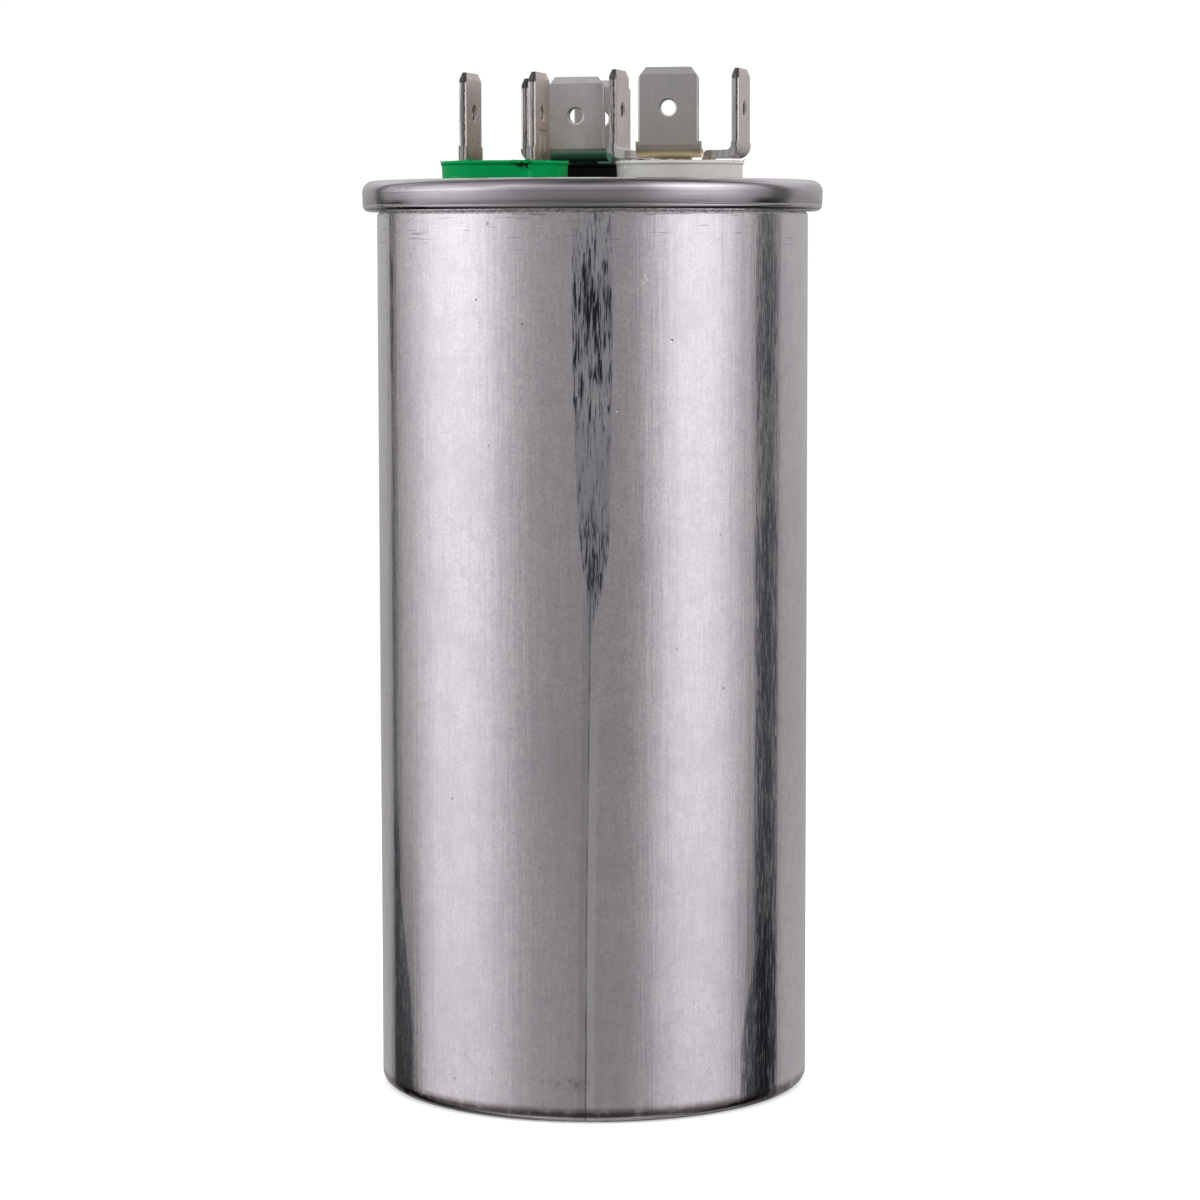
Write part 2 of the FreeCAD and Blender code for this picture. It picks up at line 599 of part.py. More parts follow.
for name, stack in (("fan", 1), ("herm", 2), ("common", 2)):
    # Moulded base: cup, gasket groove and the spigot through the lid.
    base = new_body("base_" + name)
    spin(base, [
        (HOLE, SPIGOT_END),
        ("spigot_radius", SPIGOT_END),
        ("spigot_radius", plus(PANEL_TOP, "gasket_height")),
        (plus("gasket_radius", "gasket_clear"), plus(PANEL_TOP, "gasket_height")),
        (plus("gasket_radius", "gasket_clear"), PANEL_TOP),
        (less("base_mouth_radius", "base_draft"), PANEL_TOP),
        ("base_mouth_radius", LIP_LOW),
        (LIP_OUT, less(LIP_TOP, "0.5 * base_lip_height")),
        (LIP_OUT, LIP_TOP),
        (MOUTH_IN, LIP_TOP),
        (BORE, CUP_FLOOR),
        (HOLE, CUP_FLOOR),
    ])
    round_rings(base, "base_lip_round", [(LIP_OUT, LIP_TOP), (MOUTH_IN, LIP_TOP)])
    at_terminal(base, name, name)
    bodies.append(base)

    gasket = new_body("gasket_" + name)
    spin(gasket, [
        (plus("spigot_radius", "gasket_clear"), PANEL_TOP),
        ("gasket_radius", PANEL_TOP),
        ("gasket_radius", plus(PANEL_TOP, "gasket_height")),
        (plus("spigot_radius", "gasket_clear"), plus(PANEL_TOP, "gasket_height")),
    ])
    at_terminal(gasket, name, name)
    bodies.append(gasket)

    # Rivet from the blade straps down to the solder lug.
    rivet = new_body("rivet_" + name)
    seat = plus(CUP_FLOOR, "%d * blade_gauge" % stack)
    crown = plus(seat, "rivet_head_height")
    tail = less(LUG_UNDER, "rivet_tail_height")
    spin(rivet, [
        ("0", tail),
        (less("rivet_tail_radius", "rivet_tail_bevel"), tail),
        ("rivet_tail_radius", plus(tail, "rivet_tail_bevel")),
        ("rivet_tail_radius", LUG_UNDER),
        ("rivet_radius", LUG_UNDER),
        ("rivet_radius", seat),
        ("rivet_head_radius", seat),
        ("rivet_head_radius", crown),
        ("0", crown),
    ])
    round_rings(rivet, "0.55 * rivet_head_height", [("rivet_head_radius", crown)])
    at_terminal(rivet, name, name)
    bodies.append(rivet)

    # Insulating washer under the lid.
    washer = new_body("washer_" + name)
    spin(washer, [
        (HOLE, WASHER_UNDER),
        ("washer_radius", WASHER_UNDER),
        ("washer_radius", PANEL_UNDER),
        (plus("spigot_radius", "spigot_clear"), PANEL_UNDER),
        (plus("spigot_radius", "spigot_clear"), less(PANEL_UNDER, "washer_sink")),
        (HOLE, less(PANEL_UNDER, "washer_sink")),
    ])
    round_rings(washer, "washer_round", [("washer_radius", WASHER_UNDER)])
    at_terminal(washer, name, name)
    bodies.append(washer)

    # Solder lug: ring and tail pressed from one strip, tail along the can radius.
    lug = new_body("lug_" + name)
    disc = new_sketch(lug, "XY_Plane", LUG_UNDER)
    ring(disc, "0", "0", "lug_radius")
    pad = lug.newObject("PartDesign::Pad", lug.Name + "_disc")
    pad.Profile = disc
    pad.setExpression("Length", link("lug_gauge"))
    side = "" if name == "herm" else "- "
    strip = new_sketch(lug, "XY_Plane", LUG_UNDER)
    outline(strip, [
        ("0", "- ( 0.5 * lug_tail_width )"),
        (side + "( lead_offset + lug_tail_margin )", "- ( 0.5 * lug_tail_width )"),
        (side + "( lead_offset + lug_tail_margin )", "0.5 * lug_tail_width"),
        ("0", "0.5 * lug_tail_width"),
    ])
    pad = lug.newObject("PartDesign::Pad", lug.Name + "_tail")
    pad.Profile = strip
    pad.setExpression("Length", link("lug_gauge"))
    doc.recompute()
    bore = new_sketch(lug, "XY_Plane", LUG_UNDER)
    ring(bore, "0", "0", HOLE)
    cut_through(lug, bore, "4 * lug_gauge")
    at_terminal(lug, name)
    bodies.append(lug)


def wire(label, terminal, points, radius):
    # Lead in the vertical plane through the can axis and its terminal; square bends.
    body = new_body(label)
    path = new_sketch(body, "XZ_Plane")
    spots = [FreeCAD.Vector(number(x), number(z), 0) for x, z in points]
    turn = number(radius)
    count = len(spots)
    starts = [spots[0]]
    ends = []
    arcs = []
    for i in range(1, count - 1):
        back = (spots[i - 1] - spots[i]).normalize()
        on = (spots[i + 1] - spots[i]).normalize()
        come = spots[i] + back * turn
        go = spots[i] + on * turn
        middle = spots[i] + (back + on) * turn
        ends.append(come)
        starts.append(go)
        left = back.x * on.y - back.y * on.x < 0
        first, last = (come, go) if left else (go, come)
        a = math.atan2(first.y - middle.y, first.x - middle.x)
        b = math.atan2(last.y - middle.y, last.x - middle.x)
        if b < a:
            b += 2 * math.pi
        circle = Part.Circle(middle, FreeCAD.Vector(0, 0, 1), turn)
        arcs.append((Part.ArcOfCircle(circle, a, b), 1 if left else 2, 2 if left else 1))
    ends.append(spots[-1])
    for i in range(count - 1):
        path.addGeometry(Part.LineSegment(starts[i], ends[i]), False)
    for arc, _, _ in arcs:
        path.addGeometry(arc, False)
    lines = count - 1
    for i in range(lines):
        flat = abs(starts[i].y - ends[i].y) < 1e-6
        path.addConstraint(Sketcher.Constraint("Horizontal" if flat else "Vertical", i))
    for i, (_, come_pos, go_pos) in enumerate(arcs):
        path.addConstraint(Sketcher.Constraint("Tangent", i, 2, lines + i, come_pos))
        path.addConstraint(Sketcher.Constraint("Tangent", lines + i, go_pos, i + 1, 1))
        at = path.addConstraint(Sketcher.Constraint("Radius", lines + i, turn))
        path.setExpression("Constraints[%d]" % at, link(radius))
    pin_point(path, 0, 1, points[0][0], points[0][1])
    for i in range(1, lines):
        flat = abs(starts[i].y - ends[i].y) < 1e-6
        kind = "DistanceY" if flat else "DistanceX"
        text = points[i][1] if flat else points[i][0]
        if text == "0":
            path.addConstraint(Sketcher.Constraint("PointOnObject", i, 1, -1 if flat else -2))
        else:
            rule = Sketcher.Constraint(kind, -1, 1, i, 1, number(text))
            at = path.addConstraint(rule)
            path.setExpression("Constraints[%d]" % at, link(text))
    flat = abs(starts[-1].y - ends[-1].y) < 1e-6
    kind = "DistanceX" if flat else "DistanceY"
    text = points[-1][0] if flat else points[-1][1]
    at = path.addConstraint(Sketcher.Constraint(kind, -1, 1, lines - 1, 2, number(text)))
    path.setExpression("Constraints[%d]" % at, link(text))
    end = new_sketch(body, "XY_Plane", points[0][1])
    ring(end, points[0][0], "0", "lead_radius")
    pipe = body.newObject("PartDesign::AdditivePipe", label + "_pipe")
    pipe.Profile = end
    pipe.Spine = (path, ["Edge%d" % (i + 1) for i in range(lines + len(arcs))])
    doc.recompute()
    body.Placement.Rotation = FreeCAD.Rotation(FreeCAD.Vector(0, 0, 1), 10)
    body.setExpression("Placement.Rotation.Angle", link("%s_bearing" % terminal))
    bodies.append(body)


INNER_LEAD = less("pitch_radius", "lead_offset")
OUTER_LEAD = plus("pitch_radius", "lead_offset")

fan_lead = new_body("lead_fan")
stub = new_sketch(fan_lead, "XY_Plane", CONTACT_TOP)
ring(stub, INNER_LEAD, "0", "lead_radius")
pad = fan_lead.newObject("PartDesign::Pad", "lead_fan_pad")
pad.Profile = stub
pad.setExpression("Length", link(less(LUG_UNDER, CONTACT_TOP)))
fan_lead.Placement.Rotation = FreeCAD.Rotation(FreeCAD.Vector(0, 0, 1), 10)
fan_lead.setExpression("Placement.Rotation.Angle", link("fan_bearing"))
bodies.append(fan_lead)

wire("lead_herm", "herm", [
    (OUTER_LEAD, LUG_UNDER),
    (OUTER_LEAD, plus(CONTACT_TOP, "lead_radius")),
    ("lead_foot", plus(CONTACT_TOP, "lead_radius")),
], "lead_bend")

CORE_LEAD = less(ELEMENT_LOW, "spray_gauge", "lead_radius")
wire("lead_common", "common", [
    (INNER_LEAD, LUG_UNDER),
    (INNER_LEAD, less(LUG_UNDER, "lead_drop")),
    ("0", less(LUG_UNDER, "lead_drop")),
    ("0", CORE_LEAD),
    ("common_foot", CORE_LEAD),
], "lead_bend")


def tube(label, inner, outer, low, high):
    body = new_body(label)
    spin(body, [(inner, low), (outer, low), (outer, high), (inner, high)])
    bodies.append(body)
    return body


# The wound element: fan winding on the core, plain film, compressor winding around it.
FAN_IN = plus("core_radius", "wound_fit")
DIVIDER_IN = plus("fan_wind_radius", "wound_fit")
DIVIDER_OUT = plus(DIVIDER_IN, "divider_wall")
HERM_IN = plus(DIVIDER_OUT, "wound_fit")
CONTACT_LOW = less(ELEMENT_LOW, "spray_gauge")
tube("winding_fan", FAN_IN, "fan_wind_radius", ELEMENT_LOW, ELEMENT_HIGH)
tube("divider_film", DIVIDER_IN, DIVIDER_OUT, ELEMENT_LOW, ELEMENT_HIGH)
tube("winding_herm", HERM_IN, ELEMENT_RADIUS, ELEMENT_LOW, ELEMENT_HIGH)
tube("contact_common", plus(FAN_IN, "spray_inset"), less(ELEMENT_RADIUS, "spray_inset"),
     CONTACT_LOW, ELEMENT_LOW)
tube("contact_fan", plus(FAN_IN, "spray_inset"), less("fan_wind_radius", "spray_inset"),
     ELEMENT_HIGH, CONTACT_TOP)
tube("contact_herm", plus(HERM_IN, "spray_inset"), less(ELEMENT_RADIUS, "spray_inset"),
     ELEMENT_HIGH, CONTACT_TOP)
tube("core_tube", less("core_radius", "core_wall"), "core_radius",
     CONTACT_LOW, plus(CONTACT_TOP, "core_overrun"))
tube("sleeve", SLEEVE_IN, SLEEVE_OUT, less(ELEMENT_LOW, "sleeve_overlap"),
     plus(ELEMENT_HIGH, "sleeve_overlap"))

# Bottom spacer: a plate on the can floor with the ring that carries the element.
bottom = new_body("bottom_spacer")
PLATE_TOP = plus(FLOOR_TOP, "spacer_gauge")
spin(bottom, [
    ("0", FLOOR_TOP),
    (ELEMENT_RADIUS, FLOOR_TOP),
    (ELEMENT_RADIUS, PLATE_TOP),
    ("spacer_ring_radius", PLATE_TOP),
    ("spacer_ring_radius", CONTACT_LOW),
    (less("spacer_ring_radius", "spacer_ring_wall"), CONTACT_LOW),
    (less("spacer_ring_radius", "spacer_ring_wall"), PLATE_TOP),
    ("0", PLATE_TOP),
])
bodies.append(bottom)

# Upper spacer: holds the element down from the lid channel.
holder = new_body("top_spacer")
HOLDER_OUT = less(SLEEVE_IN, "holder_clear")
HOLDER_IN = less(HOLDER_OUT, "holder_wall")
HOLDER_TOP = less(PANEL_UNDER, "channel_depth", "holder_clear")
spin(holder, [
    (less(HOLDER_OUT, "holder_foot"), CONTACT_TOP),
    (HOLDER_OUT, CONTACT_TOP),
    (HOLDER_OUT, HOLDER_TOP),
    (HOLDER_IN, HOLDER_TOP),
    (HOLDER_IN, plus(CONTACT_TOP, "holder_gauge")),
    (less(HOLDER_OUT, "holder_foot"), plus(CONTACT_TOP, "holder_gauge")),
])
bodies.append(holder)

doc.recompute()
faults = []
for item in doc.Objects:
    if "Invalid" in item.State or "Error" in item.State:
        faults.append("%s state %s" % (item.Name, item.State))
for body in bodies:
    shape = body.Shape
    if shape.isNull() or not shape.isValid() or len(shape.Solids) != 1:
        faults.append("%s shape" % body.Label)
if faults:
    raise RuntimeError("; ".join(faults))

os.makedirs("parts", exist_ok=True)
for body in bodies:
    body.Shape.exportStep("parts/%s.step" % body.Label)
    box = body.Shape.BoundBox
    print("%-20s vol %9.1f  z %6.2f %6.2f  x %6.2f %6.2f" % (
        body.Label, body.Shape.Volume, box.ZMin, box.ZMax, box.XMin, box.XMax))
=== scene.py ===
import math

import bpy
from mathutils import Matrix, Vector, noise


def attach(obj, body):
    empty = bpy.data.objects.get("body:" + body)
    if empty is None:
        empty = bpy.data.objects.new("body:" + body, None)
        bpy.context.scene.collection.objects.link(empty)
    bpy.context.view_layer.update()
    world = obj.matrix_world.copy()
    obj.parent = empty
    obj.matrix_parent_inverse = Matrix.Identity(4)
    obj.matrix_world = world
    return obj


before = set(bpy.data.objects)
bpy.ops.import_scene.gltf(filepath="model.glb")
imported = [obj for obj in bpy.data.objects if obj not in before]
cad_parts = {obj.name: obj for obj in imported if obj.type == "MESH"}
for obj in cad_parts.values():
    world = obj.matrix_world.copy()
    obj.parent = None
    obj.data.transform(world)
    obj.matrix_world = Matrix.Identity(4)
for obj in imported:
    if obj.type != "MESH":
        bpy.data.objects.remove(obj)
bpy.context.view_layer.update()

MM = 0.001
DEGREES = 180 / math.pi
PITCH = 10.4
BEARING = {"fan": 210.0, "herm": 330.0, "common": 91.6}
TIP = {"fan": 105.97, "herm": 106.3, "common": 106.05}
VALUE, VECTOR, COLOUR = "NodeSocketFloat", "NodeSocketVector", "NodeSocketColor"


# Node helpers.

class Tree:
    def __init__(self, data):
        self.data = data

    def feed(self, socket, value):
        if hasattr(value, "is_output"):
            self.data.links.new(value, socket)
        elif socket.type == "RGBA":
            socket.default_value = (*value, 1)
        else:
            socket.default_value = value

    def feed_all(self, item, values):
        for key, value in values.items():
            self.feed(item.inputs[key], value)

    def node(self, kind, inputs=None, **settings):
        item = self.data.nodes.new(kind)
        for key, value in settings.items():
            setattr(item, key, value)
        self.feed_all(item, inputs or {})
        return item

    def math(self, operation, a, b=0.0):
        return self.node("ShaderNodeMath", {0: a, 1: b}, operation=operation).outputs[0]

    def times(self, a, b):
        return self.math("MULTIPLY", a, b)

    def plus(self, a, b):
        return self.math("ADD", a, b)

    def minus(self, a, b):
        return self.math("SUBTRACT", a, b)

    def most(self, a, b):
        return self.math("MAXIMUM", a, b)

    def vector(self, operation, a, b=(0, 0, 0)):
        return self.node("ShaderNodeVectorMath", {0: a, 1: b}, operation=operation).outputs[0]

    def scale(self, a, amount):
        return self.node("ShaderNodeVectorMath", {0: a, "Scale": amount}, operation="SCALE").outputs[0]

    def length(self, a):
        return self.node("ShaderNodeVectorMath", {0: a}, operation="LENGTH").outputs["Value"]

    def split(self, a):
        return self.node("ShaderNodeSeparateXYZ", {0: a}).outputs

    def join(self, x, y, z):
        return self.node("ShaderNodeCombineXYZ", {0: x, 1: y, 2: z}).outputs[0]

    def noise(self, place, scale, detail, rough):
        return self.node("ShaderNodeTexNoise", {
            "Vector": place, "Scale": scale, "Detail": detail, "Roughness": rough}).outputs[0]

    def ramp(self, value, low, high, out_low=0.0, out_high=1.0, smooth=True):
        return self.node("ShaderNodeMapRange", {0: value, 1: low, 2: high, 3: out_low, 4: out_high},
                         interpolation_type="SMOOTHSTEP" if smooth else "LINEAR").outputs[0]

    def band(self, value, centre, half, soft):
        away = self.math("ABSOLUTE", self.minus(value, centre))
        return self.ramp(away, half, half + soft, 1.0, 0.0)

    def mix(self, amount, a, b, blend="MIX"):
        return self.node("ShaderNodeMix", {0: amount, 6: a, 7: b},
                         data_type="RGBA", blend_type=blend).outputs[2]

    def coats(self, base, layers):
        for mask, colour in layers:
            base = self.mix(mask, base, colour)
        return base

    def use(self, group, inputs):
        return self.node("ShaderNodeGroup", inputs, node_tree=group).outputs

    def normal(self):
        return self.node("ShaderNodeNewGeometry").outputs["Normal"]

    def bump(self, height, distance, normal=None):
        inputs = {"Height": height, "Distance": distance, "Strength": 1.0}
        if normal is not None:
            inputs["Normal"] = normal
        return self.node("ShaderNodeBump", inputs).outputs[0]

    def bearing(self, axes):
        return self.math("ARCTAN2", axes[0], self.times(axes[1], -1.0))

    def outward(self, axes):
        return self.vector("NORMALIZE", self.join(axes[0], axes[1], 0.0))


def new_material(name):
    mat = bpy.data.materials.new(name)
    mat.use_nodes = True
    mat.node_tree.nodes.clear()
    tree = Tree(mat.node_tree)
    shader = tree.node("ShaderNodeBsdfPrincipled")
    tree.node("ShaderNodeOutputMaterial", {0: shader.outputs[0]})
    place = tree.node("ShaderNodeTexCoord").outputs["Object"]
    return mat, tree, shader, place


def new_group(name, inputs, outputs):
    data = bpy.data.node_groups.new(name, "ShaderNodeTree")
    for label, kind, value in inputs:
        socket = data.interface.new_socket(label, in_out="INPUT", socket_type=kind)
        if value is not None:
            socket.default_value = value
    for label, kind in outputs:
        data.interface.new_socket(label, in_out="OUTPUT", socket_type=kind)
    tree = Tree(data)
    return tree, tree.node("NodeGroupInput").outputs, tree.node("NodeGroupOutput")


# Effects shared by the materials.

def drawn_streaks():
    """Noise drawn out along the height, as the die leaves it."""
    tree, given, result = new_group("drawn_streaks", [
        ("Place", VECTOR, None), ("Across", VALUE, 1500.0), ("Along", VALUE, 40.0),
        ("Detail", VALUE, 3.0)], [("Mask", VALUE)])
    axes = tree.split(given["Place"])
    drawn = tree.join(tree.times(axes[0], given["Across"]), tree.times(axes[1], given["Across"]),
                      tree.times(axes[2], given["Along"]))
    tree.feed_all(result, {"Mask": tree.noise(drawn, 1.0, given["Detail"], 0.6)})
    return tree.data


def specks():
    """Round specks of many sizes, the largest as big as Size."""
    tree, given, result = new_group("specks", [
        ("Place", VECTOR, None), ("Scale", VALUE, 600.0), ("Size", VALUE, 0.12)], [("Mask", VALUE)])
    cells = tree.node("ShaderNodeTexVoronoi", {"Vector": given["Place"], "Scale": given["Scale"]}).outputs
    pick = tree.node("ShaderNodeSeparateColor", {0: cells["Color"]}).outputs[0]
    near = tree.math("LESS_THAN", cells["Distance"], tree.times(given["Size"], pick))
    tree.feed_all(result, {"Mask": near})
    return tree.data


def compound_crumbs():
    """Crumbs of sealing compound, up to the cover given."""
    tree, given, result = new_group("compound_crumbs", [
        ("Place", VECTOR, None), ("Cover", VALUE, 1.0)], [("Mask", VALUE)])
    crumbs = tree.ramp(tree.noise(given["Place"], 2600.0, 4.0, 0.75), 0.45, 0.58, 0.0, given["Cover"])
    tree.feed_all(result, {"Mask": crumbs})
    return tree.data


def rounded_corner():
    """A normal leaned towards a direction, so that a small corner turns the light softly."""
    tree, given, result = new_group("rounded_corner", [
        ("Normal", VECTOR, None), ("Towards", VECTOR, None), ("Amount", VALUE, 0.0)],
        [("Normal", VECTOR)])
    leaned = tree.vector("ADD", given["Normal"], tree.scale(given["Towards"], given["Amount"]))
    tree.feed_all(result, {"Normal": tree.vector("NORMALIZE", leaned)})
    return tree.data


def tarnish():
    """Long scratches, stains and grain of tinned sheet."""
    tree, given, result = new_group("tarnish", [
        ("Place", VECTOR, None), ("Grain Scale", VALUE, 3200.0)],
        [("Scratch", VALUE), ("Stain", VALUE), ("Grain", VALUE)])
    upright = tree.vector("MULTIPLY", given["Place"], (1.0, 1.0, 0.05))
    tree.feed_all(result, {
        "Scratch": tree.noise(upright, 5200.0, 3.0, 0.6),
        "Stain": tree.noise(given["Place"], 420.0, 4.0, 0.6),
        "Grain": tree.noise(given["Place"], given["Grain Scale"], 3.0, 0.6)})
    return tree.data


def sheared_edge():
    """Cut edges of sheet: burnished, then a ragged dark line where it broke, then a bright burr."""
    tree, given, result = new_group("sheared_edge", [
        ("Facing", VALUE, 0.0), ("Height", VALUE, 0.0), ("Depth", VALUE, 0.0), ("Left", VALUE, 0.0),
        ("Left Colour", COLOUR, None), ("Right Colour", COLOUR, None), ("Scratch", VALUE, 0.0),
        ("Grain", VALUE, 0.0)], [("Mask", VALUE), ("Colour", COLOUR)])
    face = tree.ramp(tree.math("ABSOLUTE", given["Facing"]), 0.5, 0.8)
    face = tree.times(face, tree.ramp(given["Height"], 96.9, 97.3))
    ragged = tree.plus(given["Depth"], tree.times(tree.minus(given["Grain"], 0.5), 0.30))
    colour = tree.coats(tree.mix(given["Left"], given["Right Colour"], given["Left Colour"]), [
        (tree.ramp(given["Scratch"], 0.42, 0.62, 0.0, 0.6), (0.92, 0.91, 0.90)),
        (tree.ramp(ragged, 0.16, 0.24), (0.86, 0.84, 0.81)),
        (tree.band(ragged, 0.14, 0.035, 0.05), (0.06, 0.055, 0.055))])
    tree.feed_all(result, {"Mask": tree.times(face, 0.95), "Colour": colour})
    return tree.data


STREAKS = drawn_streaks()
SPECKS = specks()
CRUMBS = compound_crumbs()
CORNER = rounded_corner()
TARNISH = tarnish()
SHEARED = sheared_edge()
COMPOUND = (0.15, 0.125, 0.13)


# The can: drawn aluminium with streaks and marks of handling, a painted reflection of the camera down
# the front and painted reflections of dark studio gaps at the sides. Bearings are in degrees from the
# front, to the right, and heights in mm above the foot. A pair of heights or bearings says where a mark
# starts to show and where it is full. Where two more values follow, they are what a measure is at each.
# A spot is its bearing, height, half width and half height.

# Painted reflection of the camera down the front: where its dashes are dense, and where it starts and
# ends.
DENSE_FOOT, DENSE_HEAD, DENSE_FADE = 73.5, 89.5, 5.0
REFLECTION_FOOT, REFLECTION_HEAD = 46.0, 92.0
LINE_TOP, LINE_BEARING, LINE_LEAN = 55.0, -0.7, -1.7
# Bearings of the painted reflections of the studio's dark gaps at each side.
RIGHT_GAP_REFLECTION, LEFT_GAP_REFLECTION = 52.0, -66.3
STEP, NECK, RESIDUE = (91.35, 91.45), (91.42, 91.55), (91.3, 91.65)
# Middle and half width of the painted camera reflection, low and high.
BAND_MIDDLE_LOW, BAND_MIDDLE_HIGH = (48.5, 55.0, -1.0, 0.3), (57.0, 66.0, 0.0, -0.4)
BAND_HALF_LOW, BAND_HALF_HIGH = (49.5, 60.0, 0.4, 3.6), (58.0, 76.0, 0.0, 1.3)
# The painted camera reflection: the bearing of its edges, the height of its edge dashes, and its tail.
REFLECTION_EDGE, EDGE_HEIGHT, REFLECTION_TAIL = 4.5, 76.0, (66.0, 58.0)
KNOTS = ((-1.2, 83.0, 2.0, 2.6), (1.7, 76.6, 2.2, 2.4))
# Where the painted reflections of the dark gaps near the floor start and end.
LEFT_BAND_END, LEFT_BAND_START = (24.0, 7.0, -62.2, -55.8), (-68.2, -67.0)
RIGHT_BAND_START, RIGHT_BAND_END = (21.0, 5.0, 48.0, 41.0), (57.6, 56.2)
# Where the foot's round is darker, and the heights of its painted highlight and of the painted contact
# shade.
DARK_ROUND_HEAD, DARK_ROUND_FOOT = (1.9, 1.15), (0.55, 0.70)
PAINTED_HIGHLIGHT_HEIGHT, CONTACT_SHADE_HEIGHT = 0.42, (0.26, 0.16)
SMUDGE = (-5.5, 3.9, 4.5, 0.8)
DEGREE_LENGTH = 0.393
BRIGHT_NICKS = ((13.4, 85.35), (13.9, 85.0), (12.9, 84.55), (-4.2, 73.6))
DARK_PITS = ((6.4, 72.0), (-31.0, 82.9), (20.5, 78.9), (-62.4, 89.6))
# The blues are the dark of the painted gap reflections at the sides and near the foot; the grey is for
# scratches and pits.
GAP_REFLECTION_BLUE, LOW_GAP_REFLECTION_BLUE, SCRATCH_GREY = (0.035, 0.045, 0.08), (0.045, 0.048, 0.08), (0.20, 0.19, 0.21)


class CanSkin:
    """What the can's marks share: where they lie, the grain, and the streaks they break into."""

    def __init__(self, tree, place):
        self.tree, self.place = tree, place
        self.axes = tree.split(place)
        self.turn = tree.times(tree.bearing(self.axes), DEGREES)
        self.height = tree.times(self.axes[2], 1 / MM)
        self.fine = self.streaks(5200.0, 420.0, 4.0)
        self.broad = self.streaks(900.0, 30.0, 5.0)
        self.grain = tree.noise(place, 3400.0, 4.0, 0.7)
        self.cloud = tree.noise(place, 110.0, 5.0, 0.6)
        self.patch = tree.noise(place, 620.0, 4.0, 0.65)
        self.clump = self.streaks(1500.0, 240.0, 2.0)
        weave = tree.times(tree.minus(self.broad, 0.5), 1.2)
        self.drift = tree.plus(self.turn, weave)
        level = tree.plus(self.height, tree.times(tree.minus(self.clump, 0.5), 16.0))
        self.dense = tree.times(tree.ramp(level, DENSE_FOOT, DENSE_FOOT + DENSE_FADE),
                                tree.ramp(level, DENSE_HEAD, DENSE_HEAD - DENSE_FADE))
        self.dashes = self.dashed()

    def streaks(self, across, along, detail):
        return self.tree.use(STREAKS, {
            "Place": self.place, "Across": across, "Along": along, "Detail": detail})[0]

    def spot(self, bearing, height, half, reach):
        tree = self.tree
        aside = tree.math("DIVIDE", tree.minus(self.drift, bearing), half)
        above = tree.math("DIVIDE", tree.minus(self.height, height), reach)
        away = tree.plus(tree.times(aside, aside), tree.times(above, above))
        return tree.ramp(away, 0.1, 1.6, 1.0, 0.0)

    def dashed(self):
        # Thin dashes for the painted reflections, thickest in the upper third, in two knots, at both
        # edges and in the tail.
        tree = self.tree
        dash = self.streaks(9000.0, 460.0, 2.0)
        fleck = self.streaks(4200.0, 380.0, 2.0)
        knots = tree.plus(self.spot(*KNOTS[0]), self.spot(*KNOTS[1]))
        from_middle = tree.math("ABSOLUTE", tree.plus(self.drift, 0.2))
        edges = tree.times(tree.band(from_middle, REFLECTION_EDGE, 0.3, 0.4),
                           tree.band(self.height, EDGE_HEIGHT, 6.0, 4.0))
        cover = tree.plus(tree.times(self.dense, 0.12), tree.times(knots, 0.13))
        cover = tree.plus(cover, tree.times(edges, 0.06))
        cover = tree.plus(cover, tree.ramp(self.height, *REFLECTION_TAIL, 0.0, 0.12))
        dashes = tree.plus(dash, tree.times(tree.minus(fleck, 0.5), 0.7))
        dashes = tree.plus(dashes, tree.times(tree.minus(self.clump, 0.5), 0.4))
        return tree.plus(dashes, cover)


def grain_coats(can):
    ramp = can.tree.ramp
    return [
        (ramp(can.broad, 0.45, 0.72, 0.0, 0.3), (0.56, 0.53, 0.58)),
        (ramp(can.grain, 0.40, 0.66, 0.0, 0.45), (0.86, 0.84, 0.84)),
        (ramp(can.grain, 0.44, 0.30, 0.0, 0.4), (0.50, 0.47, 0.51)),
        (ramp(can.cloud, 0.46, 0.66, 0.0, 0.35), (0.60, 0.575, 0.62)),
        (ramp(can.patch, 0.46, 0.62, 0.0, 0.35), (0.60, 0.57, 0.60)),
    ]


def painted_camera_reflection(can):
    """A painted reflection of the camera down the front: a grey veil with dark dashes, narrowing to a
    tail below.
    """
    tree, height, dense = can.tree, can.height, can.dense
    middle = tree.plus(tree.ramp(height, *BAND_MIDDLE_LOW), tree.ramp(height, *BAND_MIDDLE_HIGH))
    half = tree.plus(tree.ramp(height, *BAND_HALF_LOW), tree.ramp(height, *BAND_HALF_HIGH))
    aside = tree.math("ABSOLUTE", tree.minus(can.drift, middle))
    inside = tree.ramp(tree.minus(aside, half), 0.0, 0.5, 1.0, 0.0)
    inside = tree.times(inside, tree.times(tree.ramp(height, REFLECTION_FOOT, REFLECTION_FOOT + 8.0),
                                           tree.ramp(height, REFLECTION_HEAD, REFLECTION_HEAD - 3.0, 0.55, 1.0)))
    strength = tree.plus(tree.ramp(height, 72.0, 66.0, 1.0, 0.62),
                         tree.ramp(height, *REFLECTION_TAIL, 0.0, 0.33))
    reflection_flecks = tree.times(tree.ramp(can.dashes, 0.55, 0.76), tree.most(strength, dense))
    reflection_veil = tree.most(tree.ramp(dense, 0.0, 1.0, 0.16, 0.45), tree.ramp(height, 78.0, 66.0, 0.0, 0.38))
    return tree.times(inside, reflection_veil), tree.times(inside, reflection_flecks)


